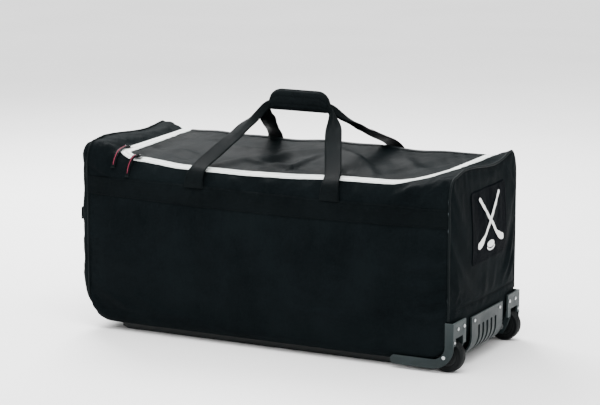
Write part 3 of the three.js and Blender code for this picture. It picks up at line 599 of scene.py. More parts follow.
def shell_cloth():
    u, v = grid(shell.us, shell.vs)
    p = shell.shape(u, v)
    y, z = p[..., 1], p[..., 2]
    near_zip = (np.abs(zip_distance(u, y)) < 0.0135) & (v > KNOTS[2]) & (y < HINGE_Y + 0.004)
    hinge = np.abs(y - HINGE_Y) < 0.006
    band = (np.abs(z - band_mid(u)) < BAND_HALF + 0.002) & ((v < KNOTS[2]) | (v > KNOTS[5]))
    plastic = (u > 0.300) & (z < 0.118) & (np.abs(y) > 0.12)
    roll = (v < KNOTS[1] * 0.6) | (v > KNOTS[6] + (KNOTS[7] - KNOTS[6]) * 0.4)
    seams = np.abs(u) > SEAM_X - 0.002
    hold = (near_zip | hinge | band | plastic | roll | seams).astype(float)
    walls = ((v < KNOTS[2]) | (v > KNOTS[5])).astype(float)
    settle(shell, hold, walls, pressure=1.2, cap=0.010)


def end_cloth(side):
    skin = ends[side]
    u, v = grid(skin.us, skin.vs)
    z = skin.shape(u, v)[..., 2]
    rim = (np.abs(u) > 0.999) | (v < 0.001) | (v > 0.999)
    hold = (rim | (z < 0.118) | (np.abs(z - END_SEAM_Z) < 0.005)).astype(float)
    settle(skin, hold, np.ones_like(hold), pressure=1.0, cap=0.006)


shell_cloth()
end_cloth(-1)
end_cloth(1)


# ---------------------------------------------------------------- materials
def node(tree, kind, inputs=None, **settings):
    made = tree.nodes.new("ShaderNode" + kind)
    for key, value in settings.items():
        setattr(made, key, value)
    for key, value in (inputs or {}).items():
        socket = made.inputs[key]
        if isinstance(value, bpy.types.NodeSocket):
            tree.links.new(value, socket)
        else:
            socket.default_value = value
    return made


def ramp(tree, factor, stops):
    made = node(tree, "ValToRGB", {"Fac": factor})
    elements = made.color_ramp.elements
    while len(elements) < len(stops):
        elements.new(0.5)
    for element, (place, colour) in zip(elements, stops):
        element.position = place
        element.color = (*colour, 1) if isinstance(colour, tuple) else (colour, colour, colour, 1)
    return made.outputs["Color"]


def math_node(tree, operation, a, b=0.0, c=0.0):
    return node(tree, "Math", {0: a, 1: b, 2: c}, operation=operation).outputs[0]


def noise(tree, scale, detail, roughness=0.5):
    place = node(tree, "TexCoord").outputs["Object"]
    inputs = {"Vector": place, "Scale": scale, "Detail": detail, "Roughness": roughness}
    return node(tree, "TexNoise", inputs).outputs["Fac"]


def start_material(name, rough, specular, sheen=0.0, metallic=0.0):
    material = bpy.data.materials.new(name)
    material.use_nodes = True
    shader = material.node_tree.nodes["Principled BSDF"]
    for socket, value in (("Specular IOR Level", specular), ("Metallic", metallic), ("Roughness", rough),
                          ("Sheen Weight", sheen), ("Sheen Roughness", 0.45)):
        shader.inputs[socket].default_value = value
    return material, material.node_tree, shader


def join_up(tree, shader, colour, mottle, rough, bumps):
    """Links a colour, a roughness that follows the mottle, and bumps of (strength, distance, height)."""
    tree.links.new(colour, shader.inputs["Base Color"])
    spread = node(tree, "MapRange", {"Value": mottle, "From Min": 0.3, "From Max": 0.7,
                                     "To Min": rough[0], "To Max": rough[1]})
    tree.links.new(spread.outputs["Result"], shader.inputs["Roughness"])
    below = {}
    for strength, distance, height in bumps:
        made = node(tree, "Bump", {"Strength": strength, "Distance": distance, "Height": height, **below})
        below = {"Normal": made.outputs["Normal"]}
    tree.links.new(below["Normal"], shader.inputs["Normal"])


def weave_height(tree, pitch, ribbed):
    """Plain weave, or ribs across webbing, as a height over the cloth's own coordinates."""
    def do(operation, a, b=0.0):
        return math_node(tree, operation, a, b)

    def arch(value):
        return do("ABSOLUTE", do("SINE", do("MULTIPLY", value, math.pi)))
    split = node(tree, "SeparateXYZ", {"Vector": node(tree, "TexCoord").outputs["UV"]})
    across, along = (do("MULTIPLY", split.outputs[k], 1 / pitch) for k in (0, 1))
    if ribbed:
        return arch(do("ADD", across, do("MULTIPLY", arch(along), 0.5)))
    cells = do("ADD", do("FLOOR", across), do("FLOOR", along))
    odd = do("MODULO", do("ADD", cells, 20000.0), 2.0)
    return do("ADD", do("MULTIPLY", arch(across), do("SUBTRACT", 1.0, odd)), do("MULTIPLY", arch(along), odd))


def cloth_material(name, dark, light, pitch=0.0012, ribbed=False, rough=(0.5, 0.7), specular=0.012,
                   sheen=0.003, bump=0.35):
    material, tree, shader = start_material(name, sum(rough) / 2, specular, sheen)
    shader.inputs["Sheen Tint"].default_value = (0.75, 0.93, 1.0, 1)
    wide, fine = noise(tree, 7.0, 5.0, 0.6), noise(tree, 260.0, 3.0)
    height = weave_height(tree, pitch, ribbed)
    both = node(tree, "Mix", {"Factor": 0.35, "A": wide, "B": fine}).outputs["Result"]
    tone = math_node(tree, "ADD", both, math_node(tree, "MULTIPLY_ADD", height, 0.22, -0.10))
    join_up(tree, shader, ramp(tree, tone, [(0.34, dark), (0.68, light)]), wide, rough,
            [(bump, 0.0003, height), (0.25, 0.0006, fine)])
    return material


def hard_material(name, base, worn, rough=(0.35, 0.6), specular=0.4, grain=900.0, bump=0.12,
                  metallic=0.0, wear=0.5):
    material, tree, shader = start_material(name, sum(rough) / 2, specular, metallic=metallic)
    wide, fine = noise(tree, 14.0, 6.0, 0.65), noise(tree, grain, 2.0)
    edge = node(tree, "NewGeometry").outputs["Pointiness"]
    scratch = math_node(tree, "MULTIPLY", ramp(tree, edge, [(0.52, 0.0), (0.60, wear)]), wide)
    dark, light = (tuple(c * k for c in base) for k in (0.82, 1.16))
    body = ramp(tree, wide, [(0.30, dark), (0.70, light)])
    colour = node(tree, "Mix", {"Factor": scratch, "A": body, "B": (*worn, 1)}, data_type="RGBA")
    join_up(tree, shader, colour.outputs["Result"], wide, rough, [(bump, 0.0004, fine)])
    return material


FABRIC = cloth_material("shell_cloth", (0.0014, 0.0022, 0.0026), (0.0042, 0.0062, 0.0070), specular=0.008)
LID_CLOTH = cloth_material("lid_cloth", (0.0011, 0.0018, 0.0021), (0.0034, 0.0051, 0.0057),
                           rough=(0.42, 0.6))
LINING = cloth_material("lining_cloth", (0.030, 0.036, 0.040), (0.046, 0.054, 0.058), pitch=0.0018,
                        rough=(0.6, 0.8))
BAND_CLOTH = cloth_material("band_cloth", (0.0013, 0.0020, 0.0023), (0.0036, 0.0052, 0.0058), pitch=0.0016,
                            ribbed=True)
WEBBING = cloth_material("strap_webbing", (0.0012, 0.0018, 0.0021), (0.0036, 0.0052, 0.0057), pitch=0.0021,
                         ribbed=True, rough=(0.45, 0.62), specular=0.02, bump=0.6)
GRIP_CLOTH = cloth_material("grip_cloth", (0.0016, 0.0023, 0.0027), (0.0046, 0.0064, 0.0070), pitch=0.0015)
BINDING = cloth_material("binding_tape", (0.0022, 0.0032, 0.0036), (0.0060, 0.0084, 0.0090), pitch=0.0012,
                         ribbed=True, rough=(0.42, 0.58), specular=0.03)
THREAD = cloth_material("sewing_thread", (0.0030, 0.0042, 0.0048), (0.0080, 0.0105, 0.0115), pitch=0.0004,
                        ribbed=True, rough=(0.4, 0.55))
TAPE = cloth_material("zip_tape", (0.66, 0.70, 0.68), (0.82, 0.85, 0.83), pitch=0.0014, ribbed=True,
                      rough=(0.55, 0.7), sheen=0.05)
COIL = hard_material("zip_coil", (0.80, 0.82, 0.80), (0.9, 0.9, 0.88), grain=400.0, wear=0.1)
PATCH_CLOTH = cloth_material("patch_cloth", (0.0008, 0.0012, 0.0018), (0.0020, 0.0028, 0.0040), pitch=0.0009,
                             rough=(0.42, 0.55), specular=0.004)
PRINT = cloth_material("mark_print", (0.70, 0.72, 0.70), (0.86, 0.87, 0.85), pitch=0.0009,
                       rough=(0.5, 0.65), bump=0.2)
PULL_LINE = cloth_material("puller_line", (0.22, 0.030, 0.058), (0.36, 0.065, 0.10), pitch=0.0008, ribbed=True)
MOULDING = hard_material("moulded_plastic", (0.0100, 0.0155, 0.0165), (0.09, 0.11, 0.11), specular=0.14,
                         wear=0.8)
RAIL = hard_material("rail_plastic", (0.0035, 0.0048, 0.0052), (0.04, 0.045, 0.045), specular=0.2, wear=0.9)
RUBBER = hard_material("tyre_rubber", (0.0022, 0.0030, 0.0033), (0.02, 0.022, 0.022), rough=(0.4, 0.62),
                       specular=0.1, grain=600.0, bump=0.3, wear=0.6)
STEEL = hard_material("steel", (0.42, 0.44, 0.45), (0.7, 0.7, 0.7), rough=(0.22, 0.42), metallic=1.0,
                      grain=1500.0, bump=0.05)
SLIDER_METAL = hard_material("slider_metal", (0.10, 0.105, 0.11), (0.42, 0.42, 0.42), rough=(0.25, 0.45),
                             metallic=1.0, grain=1200.0, bump=0.06, wear=0.9)
BOARD = cloth_material("board_cover", (0.020, 0.024, 0.026), (0.034, 0.040, 0.043), pitch=0.0024)


def dress(ob, body, slot, *materials, replaces=()):
    """Gives a piece its materials and its CAD body, and hides the CAD nodes it stands for; slot is not used."""
    ob.data.materials.clear()
    for material in materials:
        ob.data.materials.append(material)
    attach(ob, body)
    if replaces:
        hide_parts(*replaces)
    return ob


def sew(name, points, normals, body="bag_body", **sizes):
    """A row of stitches along points on a body."""
    dress(stitches(name, points, normals, **sizes), body, "webbing", THREAD)


# ---------------------------------------------------------------- the shell and the lid
def in_well(centre):
    """Which face centres lie in the openings cut for the wheel housings."""
    across = np.abs(centre[:, 1])
    return (centre[:, 0] > WELL_X) & (across > WELL_Y[0]) & (across < WELL_Y[1]) & (centre[:, 2] < WELL_Z)


def cut_fabric(name, us, vs, edge, inside_zip):
    """Fabric over the shell's surface on one side of the zip, with its edge at that distance."""
    u, v = grid(us, vs)
    x, y = u.copy(), shell_base(u, v)[..., 1]
    over = (v > KNOTS[2]) & (v < KNOTS[4] + 1e-6)
    d, e = zip_distance(x, y), 1e-5
    gx = (zip_distance(x + e, y) - zip_distance(x - e, y)) / (2 * e)
    gy = (zip_distance(x, y + e) - zip_distance(x, y - e)) / (2 * e)
    pull = np.where(over & (np.abs(d - edge) < 0.55 * CELL), d - edge, 0)
    x, y = x - pull * gx, y - pull * gy
    v = np.where(pull != 0, v_of_y(y), v)
    d = zip_distance(x, y)
    points = shell.at(x, v).reshape(-1, 3)
    faces = grid_faces(len(us), len(vs), wrap_cols=not inside_zip)
    if inside_zip:
        inside = over & (d < edge + 1e-5)
    else:
        inside = ~over | (d > edge - 1e-5) | (np.abs(v - KNOTS[4]) < 1e-6)
        faces = faces[~in_well(points[faces].mean(1))]
    return new_object(name, *keep_faces(points, faces, inside.ravel(), points_of(x, v).reshape(-1, 2)))


def build_shell():
    share = math.asin((WELL_Y[1] - FLAT_Y) / ROLL_R) / (math.pi / 2)
    marks = sorted([0, share * KNOTS[1], *KNOTS[1:], mix(KNOTS[7], KNOTS[6], share),
                    KNOTS[7] + FLAT_Y - WELL_Y[0], KNOTS[7] + FLAT_Y + WELL_Y[0]])
    us = lines([-SEAM_X, WELL_X, SEAM_X], CELL)
    ob = cut_fabric("bag_shell", us, lines(marks, CELL)[:-1], ZIP_HALF, False)
    dress(thicken(ob, SKIN_T, lining=True), "bag_body", "fabric", FABRIC, LINING,
          replaces=("front_panel", "rear_panel", "bottom_panel", "front_yoke", "rear_yoke", "left_yoke",
                    "right_yoke"))


def build_lid():
    vs = lines([KNOTS[3] - 0.002, KNOTS[4]], CELL)
    ob = cut_fabric("lid_cover", lines([LID_X0, LID_X1], CELL), vs, -ZIP_HALF, True)
    dress(thicken(ob, SKIN_T, lining=True), "lid", "fabric", LID_CLOTH, LINING, replaces=("lid_panel",))


def build_hinge_fold():
    """A bound seam over the lid's fold line."""
    xs = lines([LID_X0 + 0.012, LID_X1 - 0.012], 0.008)
    ys = np.linspace(HINGE_Y - 0.0065, HINGE_Y + 0.0065, 9)
    x, y = grid(xs, ys)
    lift = 0.0004 + 0.0012 * np.sqrt(np.clip(1 - ((y - HINGE_Y) / 0.0066) ** 2, 0, 1))
    ob = grid_object("lid_fold_binding", shell.at(x, v_of_y(y), lift), points_of(x, y))
    thicken(ob, 0.0010)
    ob.data.materials.append(BINDING)
    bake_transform(ob)


build_shell()
build_lid()
build_hinge_fold()


# ---------------------------------------------------------------- end panels, patch and mark
def end_uv(side, y, z):
    """The end skin's (u, v) at a height z and place y."""
    low, high = end_low(y), top_z(side * SEAM_X, y)
    return np.arcsin(np.clip(side * y / HALF_D, -1, 1)) / (math.pi / 2), (z - low) / (high - low)


def on_end(side, plan, lift):
    return ends[side].at(*end_uv(side, plan[..., 0], plan[..., 1]), lift)


def sew_end(name, side, plan, lift, **sizes):
    """A row of stitches through points (y, z) of an end panel."""
    sew(name, on_end(side, plan, lift), ends[side].normal(*end_uv(side, *plan.T)), **sizes)


def build_end(tag, side):
    u, v = grid(np.linspace(-1, 1, 85), np.linspace(0, 1, 79))
    points, faces = ends[side].at(u, v).reshape(-1, 3), grid_faces(*u.shape)
    uv = points_of(HALF_D * np.sin(u.ravel() * math.pi / 2), points[:, 2])
    faces = faces[~in_well(points[faces].mean(1))]
    panel = new_object(f"{tag}_end_cover", *keep_faces(points, faces, np.ones(len(points), bool), uv))
    dress(thicken(panel, SKIN_T, lining=True), "bag_body", "fabric", FABRIC, LINING,
          replaces=(f"{tag}_end_panel",))
    for row, z in (("upper", END_SEAM_Z + 0.0024), ("lower", END_SEAM_Z - 0.0030)):
        sew_end(f"{tag}_end_stitches_{row}", side, points_of(np.linspace(-0.172, 0.172, 180), z), 0.0001)

    closed = side < 0                       # the wheel end's piping stops at the housings
    low, high = (0, KNOTS[8]) if closed else (v_of_z(SEAM_X, 0.116, -1), v_of_z(SEAM_X, 0.116, 1))
    run = np.linspace(low, high, 420)
    path = shell.at(side * SEAM_X, run[:-1] if closed else run)
    pipe = tube(f"{tag}_piping_cord", even(path, 0.005, closed), PIPE_R, closed=closed)
    dress(pipe, "bag_body", "webbing", BINDING, replaces=(f"{tag}_piping",))
    x = side * (SEAM_X - 0.0062)
    run = run[(run > v_of_z(SEAM_X, 0.12, -1)) & (run < v_of_z(SEAM_X, 0.12, 1))]
    sew(f"{tag}_seam_stitches", shell.at(x, run, 0.0001), shell.normal(x, run))


def rounded_square(half_y, half_z, r, count):
    """A grid over a rectangle with round corners, centred on zero."""
    p = points_of(*grid(np.linspace(-1, 1, count), np.linspace(-1, 1, count))) * (half_y, half_z)
    core = np.clip(p, [-(half_y - r), -(half_z - r)], [half_y - r, half_z - r])
    return core + unit(p - core) * np.abs(p - core).max(-1, keepdims=True)


def border(plan):
    """The points round the edge of a grid, in turn."""
    return np.vstack([plan[:, 0], plan[-1, 1:], plan[::-1, -1][1:], plan[0, ::-1][1:]])


def build_patch():
    plan = rounded_square(*PATCH_HALF, PATCH_R, 49)
    ob = grid_object("end_patch", on_end(1, plan + PATCH_AT, 0.0007), plan)
    dress(thicken(ob, 0.0006), "bag_body", "fabric", PATCH_CLOTH)
    inset = 0.004
    plan = rounded_square(PATCH_HALF[0] - inset, PATCH_HALF[1] - inset, PATCH_R - 0.003, 41)
    sew_end("end_patch_stitches", 1, border(plan) + PATCH_AT, 0.0007)


MARK_AT = (0.012, 0.304)
PUCK_R, PUCK_Z, PUCK_SQUASH = 0.019, -0.052, 0.40


def print_mark(name, plan, lift, uv):
    """A flat print on the patch over a grid of (y, z) round the mark's middle."""
    ob = grid_object(name, on_end(1, plan + MARK_AT, lift), uv)
    outward_from(ob, (0, 0, MARK_AT[1]))
    dress(thicken(ob, 0.0004), "bag_body", "tape", PRINT)


def print_stroke(name, path, widths, lift):
    """A printed stroke along a path of (y, z), with a width at each point."""
    ahead = unit(np.gradient(path, axis=0))
    side = points_of(-ahead[:, 1], ahead[:, 0])
    t = np.linspace(-0.5, 0.5, 7)
    plan = path[:, None] + side[:, None] * (t[None, :, None] * widths[:, None, None])
    print_mark(name, plan, lift, plan)


def build_mark():
    """A generic ice hockey mark: two crossed sticks over a puck."""
    for name, hand, lift in (("mark_stick_a", 1, 0.0019), ("mark_stick_b", -1, 0.0024)):
        shaft = np.linspace([hand * 0.056, 0.056], [-hand * 0.030, -0.030], 40)
        bend = np.linspace(0, 1, 22)[1:]
        toe = points_of(-hand * (0.030 + 0.040 * bend), -0.030 - 0.017 * np.sin(bend * 1.7))
        widths = np.concatenate([np.full(40, 0.0085), 0.0085 + 0.0065 * smooth(bend * 2.5)])
        widths[-3:] *= (0.94, 0.8, 0.45)
        widths[:2] *= (0.7, 0.95)
        print_stroke(name, np.vstack([shaft, toe]), widths, lift)
    turn, reach = grid(np.linspace(0, math.tau, 49), np.linspace(0.02, 1, 7) * PUCK_R)
    plan = points_of(reach * np.cos(turn), PUCK_Z + PUCK_SQUASH * reach * np.sin(turn))
    print_mark("mark_puck_top", plan, 0.0019, plan + MARK_AT)
    arc = np.linspace(math.pi, math.tau, 30)
    rim = points_of(PUCK_R * np.cos(arc), PUCK_Z - 0.005 + PUCK_R * PUCK_SQUASH * np.sin(arc))
    print_stroke("mark_puck_rim", rim, np.full(30, 0.0035), 0.0019)


build_end("left", -1)
build_end("right", 1)
build_patch()
build_mark()


# ---------------------------------------------------------------- bands along the walls
def strap_tails(x):
    """1 where a carry strap is sewn in under the band, 0 elsewhere."""
    return sum(np.exp(-((x - c) / STRAP_CLEAR) ** 8) for c in (-STRAP_X, STRAP_X))


def build_band(name, side, node_name):
    xs = lines([-SEAM_X + 0.0015, SEAM_X - 0.0015], CELL)
    ws = np.concatenate([[-1, -0.985], np.linspace(-0.95, 0.95, 9), [0.985, 1]]) * BAND_HALF
    x, w = grid(xs, ws)
    edge = np.clip((1 - np.abs(w) / BAND_HALF) / 0.05, 0, 1)
    lift = 0.0005 + 0.0013 * edge + 0.0013 * strap_tails(x) * smooth((-side * w / BAND_HALF + 0.9) / 0.3)
    ob = grid_object(name, shell.at(x, v_of_z(x, band_mid(x) - side * w, side), lift), points_of(w, x))
    dress(thicken(ob, 0.0009), "bag_body", "webbing", BAND_CLOTH, replaces=(node_name,))
    near, far = STRAP_X - STRAP_CLEAR, STRAP_X + STRAP_CLEAR
    high = (("left", xs < -far), ("middle", np.abs(xs) < near), ("right", xs > far))
    for row, share, tail, parts in (("low", -0.86, 0.2, (("middle", xs < 1),)), ("high", 0.86, 1, high)):
        v = v_of_z(xs, band_mid(xs) + share * BAND_HALF, side)
        line, normals = shell.at(xs, v, 0.0018 + 0.0013 * tail * strap_tails(xs)), shell.normal(xs, v)
        for part, used in parts:
            sew(f"{name}_stitches_{row}_{part}", line[used], normals[used])


build_band("front_band_strip", -1, "front_band")
build_band("rear_band_strip", 1, "rear_band")


# ---------------------------------------------------------------- zip
def zip_plan(off, step=0.005):
    """Points in plan along the zip, moved outwards by off; their number doesn't depend on off."""
    def straight(a, b):
        return np.linspace(a, b, max(2, round(math.dist(a, b) / step)) + 1)[1:]

    def turn(cx, cy, r, a0):
        angles = np.radians(np.linspace(a0, a0 + 90, max(6, round(r * math.pi / 2 / step)) + 1)[1:])
        return points_of(cx + (r + off) * np.cos(angles), cy + (r + off) * np.sin(angles))
    x0, x1, back = LID_X0 - off, LID_X1 + off, HINGE_Y - 0.0015
    cx0, cy0, cx1, cy1 = LID_X0 + LID_R0, ZIP_Y + LID_R0, LID_X1 - LID_R1, ZIP_Y + LID_R1
    return np.vstack([[[x0, back]], straight((x0, back), (x0, cy0)), turn(cx0, cy0, LID_R0, 180),
                      straight((cx0, ZIP_Y - off), (cx1, ZIP_Y - off)), turn(cx1, cy1, LID_R1, 270),
                      straight((x1, cy1), (x1, back))])


def over_shell(plan, lift):
    return shell.at(plan[..., 0], v_of_y(plan[..., 1]), lift)


def build_tape(name, side, body, node_name):
    profile = np.array([(12.2, 0.3), (11.9, 1.1), (10.8, 1.4), (6.0, 1.4), (4.0, 1.5), (1.8, 1.5)]) / 1000
    if side < 0:
        profile = profile[::-1] * (-1, 1)
    offs, lifts = profile.T
    plan = np.stack([zip_plan(off) for off in offs], 1)
    ob = grid_object(name, over_shell(plan, lifts), points_of(offs, run_of(plan[:, 0])[:, None]))
    dress(thicken(ob, 0.0010), body, "tape", TAPE, replaces=(node_name,))
    line = zip_plan(side * 0.0092)
    normals = shell.normal(line[:, 0], v_of_y(line[:, 1]))
    dress(stitches(f"{name}_stitches", over_shell(line, 0.0014), normals), body, "tape", TAPE)


def build_coil(name, side, body):
    """The coil's teeth along one side of the zip, each a small rounded block."""
    pitch, long, high, foot = 0.0028, 0.0014, 0.0017, 0.0012
    plan = zip_plan(0, 0.003)
    run = run_of(plan)
    marks = np.arange(pitch * (1.0 if side > 0 else 1.5), run[-1] - pitch, pitch)
    spots, t = sample(marks, run, plan), unit(sample(marks, run, np.gradient(plan, axis=0)))
    out = points_of(t[:, 1], -t[:, 0]) * side
    columns = []
    for off, rise in ((-0.0007, 0.45), (0.0003, 1.0), (0.0034, 0.9), (0.0040, 0.2)):
        top = rise * high + foot
        for along, lift in ((-0.5, foot), (-0.32, top), (0.32, top), (0.5, foot)):
            columns.append(over_shell(spots + out * off + t * (along * long), lift))
    quads = [tuple(f) for f in grid_faces(4, 4, wrap_cols=True)] + [(3, 2, 1, 0), (12, 13, 14, 15)]
    faces = [tuple(int(16 * k + i) for i in f) for k in range(len(spots)) for f in quads]
    ob = outward(new_object(name, np.stack(columns, 1).reshape(-1, 3), faces))
    dress(ob, body, "tape", COIL)


build_tape("zip_tape_outer", 1, "bag_body", "zip_tape_frame")
build_tape("zip_tape_inner", -1, "lid", "zip_tape_lid")
build_coil("zip_coil_outer", 1, "bag_body")
build_coil("zip_coil_inner", -1, "lid")


# ---------------------------------------------------------------- straps
def spline(points, per=8):
    """Catmull-Rom through rows of numbers, all columns alike."""
    p = np.asarray(points, float)
    padded = np.vstack([2 * p[0] - p[1], p, 2 * p[-1] - p[-2]])
    out = []
    for k in range(1, len(padded) - 2):
        t = np.linspace(0, 1, per, endpoint=False)[:, None]
        a, b, c, d = padded[k - 1:k + 3]
        out.append(0.5 * (2 * b + (c - a) * t + (2 * a - 5 * b + 4 * c - d) * t ** 2
                          + (3 * b - a - 3 * c + d) * t ** 3))
    return np.vstack([*out, p[-1:]])


def strap(name, stations, width, thick, per=8, waist=1.0):
    """Webbing through stations (x, y, z, nx, ny, nz, spread): n is its outer side, and it lies flat
    at spread 1 and folded in half, ridge outwards, towards 0. Returns it with its middle line, that
    line's outer side, and the way from there to its edge."""
    s = spline(stations, per)
    path, out, spread = s[:, :3], s[:, 3:6], np.clip(s[:, 6:], 0.05, 1)
    ahead = unit(np.gradient(path, axis=0))
    out = unit(out - ahead * (out * ahead).sum(-1, keepdims=True))
    side = np.cross(out, ahead)
    q = np.linspace(-1, 1, 13)
    share = np.linspace(0, 1, len(path))
    width = width * mix(1, waist, smooth(np.minimum(share, 1 - share) / 0.16))[:, None]
    lateral = q * width / 2 * spread
    depth = -(np.sqrt(q ** 2 + 0.012) - math.sqrt(0.012)) * width / 2 * np.sqrt(1 - spread ** 2)
    middle = path[:, None] + side[:, None] * lateral[..., None] + out[:, None] * depth[..., None]
    face = unit(np.cross(np.gradient(middle, axis=0), np.gradient(middle, axis=1)))
    if (face * out[:, None]).sum() < 0:
        face = -face
    edge = np.where(np.abs(q) > 0.99, 0.45, 1.0)[None, :, None]
    top, low = middle + face * thick / 2 * edge, middle - face * thick / 2 * edge
    uv = points_of(np.concatenate([q, q[::-1] + 2.2]) * width / 2, run_of(path)[:, None])
    return rings_object(name, np.concatenate([top, low[:, ::-1]], 1), uv), path, out, side * width / 2 * spread


def stations(*rows):
    """A strap's stations from rows in millimetres."""
    return np.array(rows, float) / (1000, 1000, 1000, 1, 1, 1, 1)


def mirrored(half, signs):
    """Stations as far as a strap's middle, and their mirror image from there on."""
    return np.vstack([half, half[-2::-1] * signs])


FRONT_LEG = stations(
    (-168, -187.2, 352.5, 0, -1, 0, 1), (-168, -187.2, 366, 0, -1, 0.05, 1),
    (-167, -183.5, 380, 0, -1, 0.3, 1), (-165, -174, 392.5, 0, -1, 0.8, 1),
    (-160, -153, 406, 0, -1, 1.1, 1), (-143, -118, 430, 0, -1, 1.1, 1),
    (-124, -80, 458, -0.15, -1, 1.1, 0.995), (-108, -47, 486, -0.3, -1, 1, 0.95),
    (-97, -24, 508, -0.4, -0.7, 1, 0.62), (-86, -9, 524, -0.3, -0.3, 1, 0.24),)
REAR_LEG = stations(
    (-168, -187.2, 352.5, 0, -1, 0, 1), (-166, -187.2, 372, 0, -1, 0.05, 1),
    (-162, -186.2, 393, 0, -1, 0.25, 1), (-156, -180, 413, 0, -1, 0.5, 1),
    (-149, -160, 430, 0, -1, 0.9, 1), (-135, -118, 449, 0, -1, 1.2, 1),
    (-121, -80, 469, -0.15, -1, 1.2, 0.995), (-107, -47, 491, -0.3, -1, 1.1, 0.95),
    (-97, -24, 509, -0.4, -0.7, 1, 0.62), (-86, -9, 524.5, -0.3, -0.3, 1, 0.24),)
IN_GRIP = stations(
    (-70, -5, 532, 0, 0, 1, 0.13), (-40, -5, 534, 0, 0, 1, 0.13), (0, -5, 534, 0, 0, 1, 0.13),)


def build_carry_strap(tag, side, leg):
    whole = mirrored(np.vstack([leg, IN_GRIP]), (-1, 1, 1, -1, 1, 1, 1)) * (1, -side, 1, 1, -side, 1, 1)
    ob, path, out, across = strap(f"{tag}_carry_webbing", whole, STRAP_W, STRAP_T, waist=0.82)
    dress(ob, f"{tag}_handle", "webbing", WEBBING, replaces=(f"{tag}_carry_strap",))
    leg_end = 8 * 6                         # as many path points as lie clear of the grip
    for end, part in (("left", slice(2, leg_end)), ("right", slice(-leg_end, -2))):
        for edge, shift in (("a", -0.88), ("b", 0.88)):
            line = path[part] + across[part] * shift + out[part] * (STRAP_T / 2)
            sew(f"{tag}_webbing_{end}_stitches_{edge}", line, out[part], f"{tag}_handle", radius=0.0004)


build_carry_strap("front", -1, FRONT_LEG)
build_carry_strap("rear", 1, REAR_LEG)


# ---------------------------------------------------------------- wrapped grip
def grip_outline(x):
    """Lowest and highest z of the grip at x: round upper corners, tight lower ones."""
    top_r, low_r = 0.030, 0.007
    over = np.clip(np.abs(x) - (GRIP_L - top_r), 0, top_r * 0.985)
    under = np.clip(np.abs(x) - (GRIP_L - low_r), 0, low_r * 0.985)
    top = GRIP_Z + GRIP_H - (top_r - np.sqrt(top_r ** 2 - over ** 2))
    low = GRIP_Z - GRIP_H + (low_r - np.sqrt(low_r ** 2 - under ** 2))
    return low, top


QUILT = (0.35, -0.42)                       # the grip's sewn channels, as shares of its half-height


def grip_surface(side, x, a):
    low, top = grip_outline(x)
    s = np.sin(a)
    z = mix(low, top, (s + 1) / 2)
    close = np.sqrt(np.clip(1 - (np.clip(np.abs(x) - (GRIP_L - 0.012), 0, 1) / 0.0138) ** 2, 0.18, 1))
    puff = sum(np.exp(-((s - q) / 0.10) ** 2) for q in QUILT)
    wrinkle = 0.0004 * np.sin(x * 420 + 3 * s) * np.cos(a) + 0.0005 * wave_noise(x, s * 0.03, 0.03, 31)
    bar = 0.0010 * np.exp(-((x + 0.012) / 0.0022) ** 2) * np.exp(-((s - 0.7) / 0.25) ** 4)
    deep = (GRIP_T - 0.0006) * np.cos(a) ** 0.72 * close - 0.0013 * puff * np.cos(a) + (wrinkle - bar) * close
    return points_of(x, side * (0.0006 + np.maximum(deep, 0)), z)


def build_grip(tag, side):
    body = f"{tag}_handle"
    xs = -GRIP_L * np.cos(np.linspace(0, math.pi, 61))
    x, a = grid(xs, np.linspace(-math.pi / 2, math.pi / 2, 37))
    ob = grid_object(f"grip_{tag}_wrap", grip_surface(side, x, a), points_of(x, a * 0.02))
    outward_from(ob, (0, 0, GRIP_Z))
    dress(thicken(ob, 0.0030), body, "webbing", GRIP_CLOTH, replaces=(f"grip_{tag}_half",))
    low, top = grip_outline(xs)
    loop = np.vstack([points_of(xs, side * 0.0021, top), points_of(xs, side * 0.0021, low)[::-1]])
    rim = tube(f"grip_{tag}_binding", even(loop, 0.003, closed=True), 0.0016, sides=8, closed=True)
    dress(rim, body, "webbing", BINDING)
    line_x = np.linspace(-GRIP_L + 0.008, GRIP_L - 0.008, 90)
    for k, q in enumerate(QUILT):
        normal = unit(points_of(0 * line_x, side * 0.9, q))
        sew(f"grip_{tag}_stitches_{k}", grip_surface(side, line_x, math.asin(q)), normal, body, length=0.0026)
    bar_s = np.linspace(0.48, 0.92, 12)
    normal = unit(points_of(0, side * 0.8, bar_s))
    for k in range(3):
        line = grip_surface(side, -0.013 + 0.0010 * k, np.arcsin(bar_s)) + normal * 0.0002
        sew(f"grip_{tag}_tack_{k}", line, normal, body, radius=0.0005, length=0.0020, gap=0.0003)


build_grip("front", -1)
build_grip("rear", 1)


# ---------------------------------------------------------------- left grab handle
def middle_of(node_name):
    low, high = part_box(node_name)
    return (low + high) / 2


